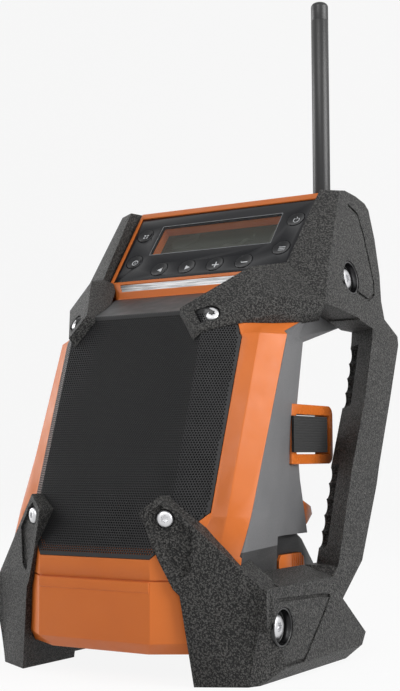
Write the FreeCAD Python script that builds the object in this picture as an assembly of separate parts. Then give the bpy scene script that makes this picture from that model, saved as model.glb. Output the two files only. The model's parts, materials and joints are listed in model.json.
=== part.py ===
import FreeCAD, Part
import math
import os

V = FreeCAD.Vector
os.makedirs("parts", exist_ok=True)

# Jobsite radio in a rubber-armoured cage, in millimetres, +Z up, the front facing -Y.
# Y is written as the distance behind a datum plane just in front of the arms,
# and save() moves every piece so that the origin lies under the middle of the radio.
MIDDLE_Y = 122.2

# Walls and clearances
WALL = 2.5
CAGE_GAP = 0.3
SEAM_GAP = 0.3
SLIDE_GAP = 0.3

# Speaker box: heights of its corners, and half widths and depths of its front
BODY_LOW = 15.6
CHIN_HIGH = 22.0
NOSE_FRONT = 20.5
NOSE_HALF = 37.3
CHIN_BACK = 6.5
GRILLE_LOW = 65.7
GRILLE_HIGH = 204.3
GRILLE_TOP_Y = 64.0
GRILLE_SLOPE = (GRILLE_TOP_Y - NOSE_FRONT) / (GRILLE_HIGH - GRILLE_LOW)
FOLD_HALF = 45.5
MESH_HALF = 62.5
RIDGE_HALF = 70.5
SEAM_HALF = 80.0
CHEEK_HIGH = 89.0
SHOULDER_LOW = 191.0
BAND_TOP_Y = 110.6
BAND_TOP = 221.1
BAND_HALF = 47.0
REAR_HALF = 66.0
REAR_UPPER_HALF = 64.5

# Display head
PANEL_LOW = (127.2, 234.7)
PANEL_HIGH = (166.3, 283.5)
PANEL_HALF_LOW = 63.3
PANEL_HALF_HIGH = 66.6
PANEL_RIM = 2.0
HEAD_TOP = 287.5
HEAD_REAR = 199.0
HEAD_UNDER = 190.0
CHANNEL_FRONT = 174.8
CHANNEL_FLOOR = 277.3

# Battery bay and rear wall
BAY_FRONT = 106.6
BAY_ROOF = 74.8
REAR_WAIST = (135.7, 137.0)
REAR_FOOT = (149.2, BAY_ROOF)

# Cage
CAGE_OUT = 94.0
CAGE_IN = 72.0
CAGE_TAPER_FROM = 200.0
CAGE_TAPER = 0.132
CAGE_TOP = 288.0

UP = V(0, 0, 1)
BACK = V(0, 1, 0)
RIGHT = V(1, 0, 0)


def save(name, *solids):
    """Write one node, moved so that the origin is under the middle of the radio."""
    shape = solids[0] if len(solids) == 1 else Part.makeCompound(list(solids))
    moved = shape.copy()
    moved.translate(V(0, -MIDDLE_Y, 0))
    moved.exportStep("parts/" + name + ".step")


def box(x0, x1, y0, y1, z0, z1):
    return Part.makeBox(x1 - x0, y1 - y0, z1 - z0, V(x0, y0, z0))


def cylinder(radius, base, axis, length):
    return Part.makeCylinder(radius, length, base, axis)


def mirrored(shape):
    return shape.mirror(V(0, 0, 0), RIGHT)


def side_prism(profile, x0, x1):
    """Solid between two X planes over an outline of (y, z) corners."""
    corners = [V(x0, y, z) for y, z in profile]
    return Part.Face(Part.makePolygon(corners + corners[:1])).extrude(V(x1 - x0, 0, 0))


def front_prism(outline, y0, y1):
    """Solid between two Y planes over an outline of (x, z) corners."""
    corners = [V(x, y0, z) for x, z in outline]
    return Part.Face(Part.makePolygon(corners + corners[:1])).extrude(V(0, y1 - y0, 0))


def convex(points):
    """Solid with flat faces around a set of corner points."""
    flat = 1e-6
    points = [V(*p) for p in points]
    found = {}
    for i, a in enumerate(points):
        for j in range(i + 1, len(points)):
            for k in range(j + 1, len(points)):
                normal = (points[j] - a).cross(points[k] - a)
                if normal.Length < flat:
                    continue
                normal.normalize()
                heights = [normal.dot(p - a) for p in points]
                if max(heights) > flat and min(heights) < -flat:
                    continue
                if max(heights) > flat:
                    normal = -normal
                found[tuple(n for n, h in enumerate(heights) if abs(h) <= flat)] = normal
    faces = []
    for members, normal in found.items():
        corners = [points[n] for n in members]
        middle = sum(corners, V(0, 0, 0)) * (1.0 / len(corners))
        across = (corners[0] - middle).normalize()
        along = normal.cross(across)
        corners.sort(key=lambda p: math.atan2((p - middle).dot(along), (p - middle).dot(across)))
        faces.append(Part.Face(Part.makePolygon(corners + corners[:1])))
    shell = Part.Shell(faces)
    shell.sewShape()
    return Part.Solid(shell)


def both(points):
    return [(side * x, y, z) for x, y, z in points for side in (1, -1)]


def placed(shape, origin, up, outward):
    """Move a shape drawn with Y up and Z outwards onto a leaning face."""
    across = up.cross(outward)
    matrix = FreeCAD.Matrix(across.x, up.x, outward.x, origin.x,
                            across.y, up.y, outward.y, origin.y,
                            across.z, up.z, outward.z, origin.z,
                            0, 0, 0, 1)
    moved = shape.copy()
    moved.Placement = FreeCAD.Placement(matrix).multiply(moved.Placement)
    return moved


# The body is a ruled loft through level sections. Each section is half an outline:
# fold, mesh edge, ridge, seam and rear corner, from the front middle to the rear middle.
def grille_y(z):
    return NOSE_FRONT + GRILLE_SLOPE * (z - GRILLE_LOW)


def half_sections():
    cheek_fold = grille_y(CHEEK_HIGH)
    shoulder_fold = grille_y(SHOULDER_LOW)
    mesh_back = MESH_HALF - FOLD_HALF
    return [
        (BODY_LOW, [(NOSE_HALF - 5, NOSE_FRONT + CHIN_BACK), (52, 39), (61, 43), (69, 48),
                    (REAR_HALF, 104.5)]),
        (CHIN_HIGH, [(NOSE_HALF, NOSE_FRONT), (54, 35), (64, 41), (71.5, 46.5),
                     (REAR_HALF, 106.0)]),
        (GRILLE_LOW, [(NOSE_HALF, NOSE_FRONT), (55, 35), (67, 42), (SEAM_HALF - 1, 45.5),
                      (REAR_HALF, 117.0)]),
        (CHEEK_HIGH, [(FOLD_HALF, cheek_fold), (MESH_HALF - 1, cheek_fold + 0.95 * mesh_back),
                      (RIDGE_HALF, 45.2), (SEAM_HALF, 55.0), (REAR_HALF, 123.0)]),
        (SHOULDER_LOW, [(FOLD_HALF, shoulder_fold), (MESH_HALF, shoulder_fold + 1.05 * mesh_back),
                        (RIDGE_HALF, 83.0), (SEAM_HALF, 98.8), (REAR_UPPER_HALF, 149.0)]),
        (GRILLE_HIGH, [(FOLD_HALF, GRILLE_TOP_Y), (60, 86.0), (68, 108.0), (SEAM_HALF, 128.0),
                       (REAR_UPPER_HALF, 150.0)]),
        (BAND_TOP, [(BAND_HALF, BAND_TOP_Y), (52, 117.0), (57, 124.0), (66, 134.0),
                    (REAR_UPPER_HALF - 2, 150.0)]),
    ]


def speaker_box(inset):
    """The speaker box, with every face moved inwards by about the inset."""
    wires = []
    sections = half_sections()
    for number, (z, half) in enumerate(sections):
        level = z
        if number == 0:
            level = z + inset
        if number == len(sections) - 1:
            level = z - inset
        right = [(x - inset, y + inset) for x, y in half[:-1]]
        right.append((half[-1][0] - inset, half[-1][1] - inset))
        ring = right + [(-x, y) for x, y in reversed(right)]
        corners = [V(x, y, level) for x, y in ring]
        wires.append(Part.makePolygon(corners + corners[:1]))
    return Part.makeLoft(wires, True, True)


def panel_y(z):
    (y0, z0), (y1, z1) = PANEL_LOW, PANEL_HIGH
    return y0 + (y1 - y0) / (z1 - z0) * (z - z0)


def head(inset):
    """The display head with its leaning front, its sloping underside and its side walls."""
    side_low = PANEL_HALF_LOW + PANEL_RIM - 0.3
    side_high = PANEL_HALF_HIGH + PANEL_RIM + 0.2
    top = HEAD_TOP - inset
    low = HEAD_UNDER + inset
    front_low = 226.0
    lean = inset * 1.28
    return convex(both([
        (side_low - inset, panel_y(front_low) + lean, front_low),
        (side_high - inset, panel_y(top) + lean, top),
        (70.8 - inset, panel_y(front_low) + 26, front_low),
        (73.0 - inset, panel_y(top) + 26, top - 3),
        (66.0 - inset, HEAD_REAR - inset, 279 - inset),
        (66.0 - inset, HEAD_REAR - inset, HEAD_UNDER + 14 + inset),
        (70.0 - inset, 120 + inset, low),
        (REAR_UPPER_HALF - inset, 146.0, low),
    ]))


def light_ledge(inset):
    """The orange ledge that carries the light bar between the grille and the display."""
    return convex(both([
        (BAND_HALF - inset, BAND_TOP_Y + inset, BAND_TOP),
        (BAND_HALF + 0.5 - inset, 112.0 + inset, 225.3 - inset),
        (57.0 - inset, 122.0 + inset, 232.4 - inset),
        (PANEL_HALF_LOW + 1 - inset, PANEL_LOW[0] + inset, PANEL_LOW[1] - inset),
        (PANEL_HALF_LOW + 1 - inset, 140.0, PANEL_LOW[1] - inset),
        (68.0 - inset, 126.0 + inset, 214.0),
        (68.0 - inset, 142.0, 214.0),
        (BAND_HALF - inset, 112.0 + inset, 212.0),
    ]))


def rear_step(inset):
    """The lower part of the rear wall, which stands out over the battery."""
    profile = [(95.0, BAY_ROOF + inset), (REAR_FOOT[0] - inset, BAY_ROOF + inset),
               (140.2 - inset, 107.0), (REAR_WAIST[0] - inset, REAR_WAIST[1] - inset),
               (118.0, REAR_WAIST[1] - inset), (95.0, 100.0)]
    return side_prism(profile, -REAR_HALF + inset, REAR_HALF - inset)


def body(inset):
    whole = speaker_box(inset)
    for piece in (head(inset), light_ledge(inset), rear_step(inset)):
        whole = whole.fuse(piece)
    return whole


def without(shape, *tools):
    for tool in tools:
        shape = shape.cut(tool)
    return shape


# Parting line between the orange front bezel and the grey rear housing, in (y, z)
SEAM = [(46.0, 0.0), (46.0, 68.0), (99.5, 193.0), (129.0, 204.6), (139.5, 230.0), (186.0, 289.5),
        (186.0, 300.0)]


def front_side(shift):
    line = [(y + shift, z) for y, z in SEAM]
    return side_prism([(-20.0, 0.0)] + line + [(-20.0, 300.0)], -120, 120)


def bay(grow):
    return box(-120, 120, BAY_FRONT - grow, 260, -10, BAY_ROOF + grow)


def channel(grow):
    return box(-120, 120, CHANNEL_FRONT - grow, 260, CHANNEL_FLOOR - grow, 320)


# Frames of the leaning faces: a point on each, the way up it and the way out of it
PANEL_LEAN = math.atan2(PANEL_HIGH[0] - PANEL_LOW[0], PANEL_HIGH[1] - PANEL_LOW[1])
PANEL_UP = V(0, math.sin(PANEL_LEAN), math.cos(PANEL_LEAN))
PANEL_OUT = V(0, -math.cos(PANEL_LEAN), math.sin(PANEL_LEAN))
PANEL_BASE = V(0, *PANEL_LOW)
PANEL_TALL = math.hypot(PANEL_HIGH[0] - PANEL_LOW[0], PANEL_HIGH[1] - PANEL_LOW[1])
GRILLE_UP = V(0, GRILLE_SLOPE, 1).normalize()
GRILLE_OUT = V(0, -1, GRILLE_SLOPE).normalize()
WALL_UP = V(0, 149.0 - 123.0, SHOULDER_LOW - CHEEK_HIGH).normalize()
WALL_OUT = V(0, WALL_UP.z, -WALL_UP.y)


def on_panel(shape, x, height, depth=0.0):
    base = PANEL_BASE + PANEL_UP * height - PANEL_OUT * depth
    return placed(shape, V(x, base.y, base.z), PANEL_UP, PANEL_OUT)


def trapezium(low_half, high_half, v0, v1, n0, n1):
    """Plate on a leaning face, from n0 to n1 outwards, narrower at its lower edge."""
    corners = [V(-low_half, v0, n0), V(low_half, v0, n0), V(high_half, v1, n0), V(-high_half, v1, n0)]
    return Part.Face(Part.makePolygon(corners + corners[:1])).extrude(V(0, 0, n1 - n0))


# Display: fascia, window, buttons
FASCIA_THICK = 2.5
FASCIA_SUNK = 0.6
WINDOW_HALF = 45.3
WINDOW_LOW = 25.0
WINDOW_HIGH = 52.3
WINDOW_THICK = 1.5
LCD_DEPTH = 6.0
LCD_FRAME_WALL = 2.0
BUTTON_R = 5.9
BUTTON_GAP = 0.3
BUTTON_PROUD = 0.2
BUTTON_FLANGE = 1.2
BUTTON_TRAVEL = 0.8
STEM_R = 2.0
BOARD_DEPTH = 10.5
BOARD_THICK = 1.6
SWITCH_R = 3.0
BUTTONS = {
    "button_power": (57.0, 45.0),
    "button_menu": (54.9, 19.2),
    "button_preset": (-57.0, 45.0),
    "button_source": (-54.9, 19.2),
    "button_tune_down": (-31.5, 10.0),
    "button_tune_up": (-10.5, 10.0),
    "button_volume_up": (10.5, 10.0),
    "button_volume_down": (31.5, 10.0),
}


def fascia_plate(grow, n0, n1):
    return trapezium(PANEL_HALF_LOW + grow, PANEL_HALF_HIGH + grow, -grow, PANEL_TALL + grow, n0, n1)


def window_plate(grow, n0, n1):
    return box(-WINDOW_HALF - grow, WINDOW_HALF + grow, WINDOW_LOW - grow, WINDOW_HIGH + grow, n0, n1)


FASCIA_FACE = -FASCIA_SUNK
FASCIA_BACK = FASCIA_FACE - FASCIA_THICK
fascia = fascia_plate(0, FASCIA_BACK, FASCIA_FACE)
fascia = without(fascia, window_plate(0, FASCIA_BACK - 1, 1))
for x, v in BUTTONS.values():
    fascia = fascia.cut(cylinder(BUTTON_R + BUTTON_GAP, V(x, v, FASCIA_BACK - 1), UP, 9))
save("display_panel", on_panel(fascia, 0, 0))

window = window_plate(0, FASCIA_FACE - WINDOW_THICK, FASCIA_FACE)
save("display_window", on_panel(window, 0, 0))

frame_outer = window_plate(LCD_FRAME_WALL, FASCIA_BACK - LCD_DEPTH, FASCIA_BACK)
lcd_frame = frame_outer.cut(window_plate(0, FASCIA_BACK - LCD_DEPTH - 1, 1))
save("lcd_frame", on_panel(lcd_frame, 0, 0))

LCD_FACE = FASCIA_BACK - LCD_DEPTH
lcd = window_plate(LCD_FRAME_WALL, -BOARD_DEPTH, LCD_FACE)
save("lcd_module", on_panel(lcd, 0, 0))

# Each button: a round cap through the fascia, a flange behind it and a stem to its switch
SWITCH_TOP = -BOARD_DEPTH + 2.4


def button_shape(x, v):
    face = FASCIA_FACE + BUTTON_PROUD
    cap = cylinder(BUTTON_R, V(x, v, FASCIA_BACK - SLIDE_GAP), UP, face - FASCIA_BACK + SLIDE_GAP)
    flange = cylinder(BUTTON_R + BUTTON_FLANGE, V(x, v, FASCIA_BACK - SLIDE_GAP - 1.2), UP, 1.2)
    stem_top = FASCIA_BACK - SLIDE_GAP - 1.0
    stem_end = SWITCH_TOP + BUTTON_TRAVEL + 0.2
    stem = cylinder(STEM_R, V(x, v, stem_end), UP, stem_top - stem_end)
    return cap.fuse(flange).fuse(stem).removeSplitter()


for name, (x, v) in BUTTONS.items():
    save(name, on_panel(button_shape(x, v), 0, 0))

board = trapezium(PANEL_HALF_LOW - 1.5, PANEL_HALF_HIGH - 1.5, 3.0, PANEL_TALL - 3.0,
                  -BOARD_DEPTH - BOARD_THICK, -BOARD_DEPTH)
save("control_board", on_panel(board, 0, 0))
switches = [cylinder(SWITCH_R, V(x, v, -BOARD_DEPTH), UP, SWITCH_TOP + BOARD_DEPTH)
            for x, v in BUTTONS.values()]
save("button_switches", *[on_panel(switch, 0, 0) for switch in switches])

# Light bar under the display
LENS_THICK = 3.0
LENS_LOW = V(0, 112.0, 225.3)
LENS_HIGH = V(0, 122.0, 232.4)
LENS_HALF_LOW = 46.0
LENS_HALF_HIGH = 54.0
LENS_UP = (LENS_HIGH - LENS_LOW).normalize()
LENS_OUT = V(0, -LENS_UP.z, LENS_UP.y)


def lens_plate(grow, n0, n1):
    length = (LENS_HIGH - LENS_LOW).Length
    plate = trapezium(LENS_HALF_LOW + grow, LENS_HALF_HIGH + grow, 0.8 - grow, length - 0.4 + grow,
                      n0, n1)
    return placed(plate, LENS_LOW, LENS_UP, LENS_OUT)


save("light_bar_lens", lens_plate(0, -LENS_THICK, 0.0))
led_strip = placed(box(-44, 44, 2.5, 8.5, -LENS_THICK - 3.0, -LENS_THICK), LENS_LOW, LENS_UP, LENS_OUT)
save("light_bar_board", led_strip)


# Grille: one folded steel sheet over the front opening of the bezel
SHEET = 1.0
LEDGE_WIDE = 5.5
MESH_OUTLINE = [(NOSE_HALF - 0.3, GRILLE_LOW + 0.5), (MESH_HALF - 1.3, 90.8), (MESH_HALF, 189.0),
                (52.0, 213.5), (BAND_HALF, BAND_TOP - 0.8)]


def mesh_zone(inset, y0=0.0, y1=116.0):
    outline = MESH_OUTLINE + [(-x, z) for x, z in reversed(MESH_OUTLINE)]
    corners = [V(x, 0, z) for x, z in outline]
    wire = Part.makePolygon(corners + corners[:1])
    if inset:
        wire = wire.makeOffset2D(-inset, 2)
    zone = Part.Face(wire).extrude(V(0, y1 - y0, 0))
    zone.translate(V(0, y0, 0))
    return zone


box_outer = speaker_box(0)
box_sheet = speaker_box(SHEET)
cloth_back = speaker_box(SHEET + 0.5)
grille = box_outer.cut(box_sheet).common(mesh_zone(0.3))
cloth = box_sheet.cut(cloth_back).common(mesh_zone(LEDGE_WIDE + 0.2))

# Speaker: driver behind the grille on a sloping baffle
DRIVER_Z = 140.0
DRIVER_R = 38.0
BAFFLE_DEPTH = 14.0
BAFFLE_THICK = 3.0
CONE_TRAVEL = 1.5
RUN_GAP = 0.3
driver_face = V(0, grille_y(DRIVER_Z), DRIVER_Z) - GRILLE_OUT * BAFFLE_DEPTH


def on_baffle(shape):
    return placed(shape, driver_face, GRILLE_UP, GRILLE_OUT)


def cone_shape(r0, r1, thick, z0, z1):
    outer = Part.makeCone(r0, r1, z1 - z0, V(0, 0, z0), UP)
    inner = Part.makeCone(r0 - thick, r1 - thick, z1 - z0 + 0.002, V(0, 0, z0 - 0.001), UP)
    return outer.cut(inner)


# Screws of the cage: tips of the arms and the two side cups
ARM_SCREW_LOW = V(45.6, 22.4, 88.0)
ARM_SCREW_LOW_OUT = V(0.55, -1, -0.03).normalize()
ARM_SCREW_HIGH = V(48.6, 66.6, 202.6)
ARM_SCREW_HIGH_OUT = V(0.494, -0.693, 0.525).normalize()
SIDE_SCREW_LOW = V(CAGE_OUT, 64.9, 29.7)
SIDE_SCREW_HIGH = V(CAGE_OUT - CAGE_TAPER * 31.0, 166.0, 231.0)
SIDE_OUT_HIGH = V(1, 0, CAGE_TAPER).normalize()
HEAD_R = 4.65
HEAD_HIGH = 2.4
SIDE_HEAD_R = 6.5
SCREW_R = 2.2
SIDE_SCREW_R = 2.6
CUP_R = 10.8
CUP_DEPTH = 6.5
CUP_WALL = 1.4


def screw(radius, head_r, head_high, length, base, out):
    """A button-head screw; base is the seat of its head, out the way its head faces."""
    head_part = cylinder(head_r, base, out, head_high)
    head_part = head_part.common(Part.makeSphere(head_r * 1.55, base - out * (head_r * 1.55 - head_high)))
    socket = cylinder(head_r * 0.4, base + out * (head_high - 1.3), out, 3.0)
    shank = cylinder(radius, base - out * length, out, length)
    return head_part.cut(socket).fuse(shank)


ARM_SUNK = 2.6
SCREW_LONG = 24.0
arm_low = screw(SCREW_R, HEAD_R, HEAD_HIGH, SCREW_LONG, ARM_SCREW_LOW - ARM_SCREW_LOW_OUT * ARM_SUNK,
                ARM_SCREW_LOW_OUT)
arm_high = screw(SCREW_R, HEAD_R, HEAD_HIGH, SCREW_LONG,
                 ARM_SCREW_HIGH - ARM_SCREW_HIGH_OUT * ARM_SUNK, ARM_SCREW_HIGH_OUT)
arm_screws = [arm_low, arm_high, mirrored(arm_low), mirrored(arm_high)]
CUP_FLOOR = CUP_DEPTH - CUP_WALL
SIDE_HEAD_HIGH = 2.6
side_low = screw(SIDE_SCREW_R, SIDE_HEAD_R, SIDE_HEAD_HIGH, SCREW_LONG,
                 SIDE_SCREW_LOW - RIGHT * CUP_FLOOR, RIGHT)
side_high = screw(SIDE_SCREW_R, SIDE_HEAD_R, SIDE_HEAD_HIGH, SCREW_LONG,
                  SIDE_SCREW_HIGH - SIDE_OUT_HIGH * CUP_FLOOR, SIDE_OUT_HIGH)
side_screws = [side_low, side_high, mirrored(side_low), mirrored(side_high)]


def cup(base, out):
    """A smooth round cup sunk in the cage, which spreads the load of a side screw."""
    outer = cylinder(CUP_R, base - out * CUP_DEPTH, out, CUP_DEPTH - 0.4)
    hollow = cylinder(CUP_R - CUP_WALL, base - out * CUP_FLOOR, out, CUP_DEPTH)
    return outer.cut(hollow)


cup_low = without(cup(SIDE_SCREW_LOW, RIGHT), side_low)
cup_high = without(cup(SIDE_SCREW_HIGH, SIDE_OUT_HIGH), side_high)
cups = [cup_low, cup_high, mirrored(cup_low), mirrored(cup_high)]


def boss(base, out, inner, length, radius):
    return cylinder(radius, base - out * (inner + length), out, length)


def pair(shape):
    return [shape, mirrored(shape)]


# Posts start at the head's seat, are trimmed to the casing, and reach past the screw's end
BOSS_R = 5.5
POST_R = 4.6
POST_SPARE = 1.0
post_long = SCREW_LONG + POST_SPARE
bosses = pair(boss(SIDE_SCREW_LOW, RIGHT, CUP_FLOOR, post_long, BOSS_R))
bosses += pair(boss(SIDE_SCREW_HIGH, SIDE_OUT_HIGH, CUP_FLOOR, post_long, BOSS_R))
arm_posts = pair(boss(ARM_SCREW_LOW, ARM_SCREW_LOW_OUT, ARM_SUNK, post_long, POST_R))
arm_posts += pair(boss(ARM_SCREW_HIGH, ARM_SCREW_HIGH_OUT, ARM_SUNK, post_long, POST_R))


# Cage, right side: upper plate, upper arm, handle, foot and lower arm in one moulding
def cage_x(z):
    """Outer face of the cage, upright below and leaning inwards above."""
    return CAGE_OUT - CAGE_TAPER * max(0.0, z - CAGE_TAPER_FROM)


PLATE_INNER_LOW = V(67.7, 122.2, 236.7)
PLATE_INNER_HIGH = V(71.8, 160.0, CAGE_TOP - 0.7)
ARM_RIDGE = V(57.5, 95.5, 231.7)
ARM_TIP_INNER = V(32.8, 57.7, 205.0)
ARM_TIP_OUTER = V(44.4, 55.4, 191.4)
ARM_KNEE = V(71.6, 91.7, 213.4)
PLATE_CORNER = V(cage_x(211), 123.0, 211.0)


def upper_plate():
    rear = [(174, CAGE_TOP), (190, CAGE_TOP - 1), (203, 284.5), (208, 281), (211.5, 262),
            (211.5, 238), (208, 220), (196, 203)]
    points = [PLATE_INNER_LOW, PLATE_INNER_HIGH, PLATE_CORNER,
              (cage_x(237.6), 136.4, 237.6), (cage_x(286), 165.0, 286.0),
              (68.0, 124.0, 214.0), (67.0, 196.0, 203.0)]
    points += [(cage_x(z), y, z) for y, z in rear]
    points += [(71.8, y, z) for y, z in rear[:-1]]
    return convex(points)


def upper_arm():
    return convex([ARM_RIDGE, ARM_TIP_INNER, ARM_TIP_OUTER, ARM_KNEE, PLATE_INNER_LOW, PLATE_CORNER,
                   (41.5, 58.3, 185.6), (27.6, 66.0, 200.0), (70.0, 97.0, 197.0), (86.0, 128.0, 201.0),
                   (32.0, 78.0, 206.0), (46.0, 76.0, 190.0), (60.0, 127.0, 233.0), (82.0, 137.0, 212.0)])


HANDLE_CHAMFER = 17.0
HANDLE_FRONT = [(188.0, 201.0), (187.0, 194.0), (174.5, 156.0), (154.0, 113.0), (139.4, 73.4),
                (133.0, 57.0)]
BAR_TOP = 51.5
FOOT_REAR = [(159.0, 0.0), (170.6, 14.9), (139.0, 37.8), (167.0, 58.0), (190.6, 103.6),
             (194.7, 115.0), (213.9, 157.7), (228.7, 193.2), (227.7, 198.8), (209.4, 208.6),
             (207.9, 222.0)]


def handle_and_foot():
    profile = [(46.0, 0.0)] + FOOT_REAR + [(170.0, 222.0), (170.0, 205.0)] + HANDLE_FRONT
    profile += [(126.0, BAR_TOP), (46.0, BAR_TOP)]
    return side_prism(profile, CAGE_IN, CAGE_OUT)


FACET_X = 57.4
FACET_Y = 31.5
FACET_PLAN = 0.55
FACET_RISE = -0.03


def facet_y(x, z):
    """Depth of the front facet of the lower arm."""
    return FACET_Y + FACET_PLAN * (x - FACET_X) + FACET_RISE * z


def behind_facet(shift, x_low=20.0, x_high=110.0):
    corners = []
    for x in (x_low, x_high):
        for z in (-5.0, 110.0):
            corners += [(x, facet_y(x, z) + shift, z), (x, 110.0, z)]
    return convex(corners)


LOWER_ARM = [(57.8, 0.0), (51.8, 47.5), (48.8, 51.0), (42.0, 66.6), (33.6, 91.5), (43.5, 100.2),
             (91.0, BAR_TOP - 1.0), (CAGE_OUT, BAR_TOP - 4.0), (CAGE_OUT, 0.0)]


LOWER_ARM_THICK = 19.0


def lower_arm():
    """The front of the foot, which runs on upwards as an arm of its own thickness."""
    whole = front_prism(LOWER_ARM, 5.0, 80.0).common(behind_facet(0.0))
    above_bar = box(0, 120, 0, 120, BAR_TOP, 120)
    return whole.cut(behind_facet(LOWER_ARM_THICK).common(above_bar))


def handle_wedges():
    """Slants the front of the handle, so that its inner edge lies further back."""
    wedges = []
    for (y0, z0), (y1, z1) in zip(HANDLE_FRONT, HANDLE_FRONT[1:]):
        wedges.append(convex([(CAGE_OUT, y0, z0), (CAGE_OUT, y1, z1),
                              (CAGE_IN - 1, y0, z0), (CAGE_IN - 1, y1, z1),
                              (CAGE_IN - 1, y0 + HANDLE_CHAMFER, z0),
                              (CAGE_IN - 1, y1 + HANDLE_CHAMFER, z1)]))
    return wedges


SCALLOP_R = 6.0
SCALLOP_PITCH = 9.6
SCALLOP_DEEP = 2.2


def scallops():
    """Finger grips along the inner front edge of the handle, in an upper and a lower group."""
    cutters = []
    for first, count in ((186.0, 4), (110.0, 5)):
        for number in range(count):
            z = first - number * SCALLOP_PITCH
            edge = handle_front_y(z) + HANDLE_CHAMFER
            cutters.append(cylinder(SCALLOP_R, V(CAGE_IN - 1, edge - SCALLOP_R + SCALLOP_DEEP, z),
                                    RIGHT, 9.0))
    return cutters


def handle_front_y(z):
    for (y0, z0), (y1, z1) in zip(HANDLE_FRONT, HANDLE_FRONT[1:]):
        if z1 <= z <= z0:
            return y1 + (y0 - y1) * (z - z1) / (z0 - z1)
    return HANDLE_FRONT[-1][0]


GROOVE_WIDE = 2.0
GROOVE_DEEP = 1.2


def grooves(path):
    """Shallow moulded groove along a path of (y, z) corners on the outer face."""
    cutters = []
    for (y0, z0), (y1, z1) in zip(path, path[1:]):
        run = math.hypot(y1 - y0, z1 - z0)
        ny = -(z1 - z0) / run * GROOVE_WIDE / 2
        nz = (y1 - y0) / run * GROOVE_WIDE / 2
        corners = []
        for y, z in ((y0, z0), (y1, z1)):
            for side in (1, -1):
                corners.append((cage_x(z) + 1, y + side * ny, z + side * nz))
                corners.append((cage_x(z) - GROOVE_DEEP, y + side * ny, z + side * nz))
        cutters.append(convex(corners))
    return cutters


FOOT_PANEL = [(60.0, 44.5), (111.2, 42.4), (122.0, 41.0), (115.0, 33.5), (89.0, 9.5), (62.0, 9.5)]
PLATE_PANEL = [(176.0, 279.0), (189.0, 275.0), (194.0, 262.0), (200.0, 232.0), (198.0, 224.0),
               (188.0, 219.0), (152.0, 227.0)]
FOOT_BEVEL = 8.0


def bottom_bevel():
    return side_prism_along_y([(CAGE_OUT + 1, -1.0), (CAGE_OUT + 1, FOOT_BEVEL + 1.0),
                               (CAGE_OUT, FOOT_BEVEL), (CAGE_OUT - FOOT_BEVEL, 0.0),
                               (CAGE_OUT - FOOT_BEVEL - 1, -1.0)])


def side_prism_along_y(outline):
    return front_prism(outline, 0.0, 180.0)


def outer_taper():
    """What lies outside the leaning upper part of the cage's outer face."""
    top = CAGE_TOP + 20
    return front_prism([(CAGE_OUT, CAGE_TAPER_FROM), (cage_x(top), top), (CAGE_OUT + 20, top),
                        (CAGE_OUT + 20, CAGE_TAPER_FROM)], 0, 260)


def corner_chamfer():
    """Slants the front corner of the foot, wide at the ground and closing towards the bar."""
    return convex([(82.0, 44.0, -1), (CAGE_OUT, 71.3, -1), (100.0, 71.3, -1), (100.0, 40.0, -1),
                   (82.0, 40.0, -1), (CAGE_OUT + 0.5, 50.5, BAR_TOP)])


def bar_slope():
    """The foot bar's top rises towards its inner edge."""
    return convex([(CAGE_IN, 74.0, BAR_TOP - 1), (CAGE_IN, 74.0, BAR_TOP + 5.5),
                   (CAGE_OUT, 60.0, BAR_TOP), (CAGE_OUT, 60.0, BAR_TOP - 1),
                   (CAGE_IN, 150.0, BAR_TOP - 1), (CAGE_IN, 150.0, BAR_TOP + 5.5),
                   (CAGE_OUT, 132.0, BAR_TOP), (CAGE_OUT, 132.0, BAR_TOP - 1)])


ARM_CHANNEL = [(37.2, 90.8), (43.4, 95.8), (58.5, 81.0), (57.0, 60.0), (52.5, 56.0), (46.8, 66.6)]
CHANNEL_DEEP = 1.8
TIP_SLOT_HALF = 4.9
TIP_SLOT_LONG = 9.0


def lower_arm_channel():
    """Shallow channel down the front of the lower arm, with a rim left along its edges."""
    return front_prism(ARM_CHANNEL, 0.0, 80.0).cut(behind_facet(CHANNEL_DEEP, 0.0))


def upper_arm_slot():
    """The pocket of the upper arm's screw runs on towards the tip of the arm."""
    towards = (ARM_TIP_INNER + ARM_TIP_OUTER) * 0.5 - ARM_SCREW_HIGH
    towards = (towards - ARM_SCREW_HIGH_OUT * towards.dot(ARM_SCREW_HIGH_OUT)).normalize()
    slot = box(-TIP_SLOT_HALF, TIP_SLOT_HALF, 0, TIP_SLOT_LONG, -ARM_SUNK, 12)
    return placed(slot, ARM_SCREW_HIGH, towards, ARM_SCREW_HIGH_OUT)


skin = body(-CAGE_GAP)
arm_pads = [lower_arm_channel(), upper_arm_slot()]
for base, out in ((ARM_SCREW_LOW, ARM_SCREW_LOW_OUT), (ARM_SCREW_HIGH, ARM_SCREW_HIGH_OUT)):
    arm_pads.append(cylinder(HEAD_R + 0.6, base - out * ARM_SUNK, out, 20.0))
cup_pockets = [cylinder(CUP_R, SIDE_SCREW_LOW - RIGHT * CUP_DEPTH, RIGHT, 20.0),
               cylinder(CUP_R, SIDE_SCREW_HIGH - SIDE_OUT_HIGH * CUP_DEPTH, SIDE_OUT_HIGH, 20.0)]

cage = upper_plate().fuse([upper_arm(), handle_and_foot(), lower_arm(), bar_slope()])
cage = without(cage, outer_taper(), bottom_bevel(), corner_chamfer(), *handle_wedges())
cage = without(cage, *scallops())
cage = without(cage, *grooves(FOOT_PANEL), *grooves(PLATE_PANEL))
cage = without(cage, skin, *arm_pads, *cup_pockets, arm_low, arm_high, side_low, side_high)
cage = cage.removeSplitter()


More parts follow.
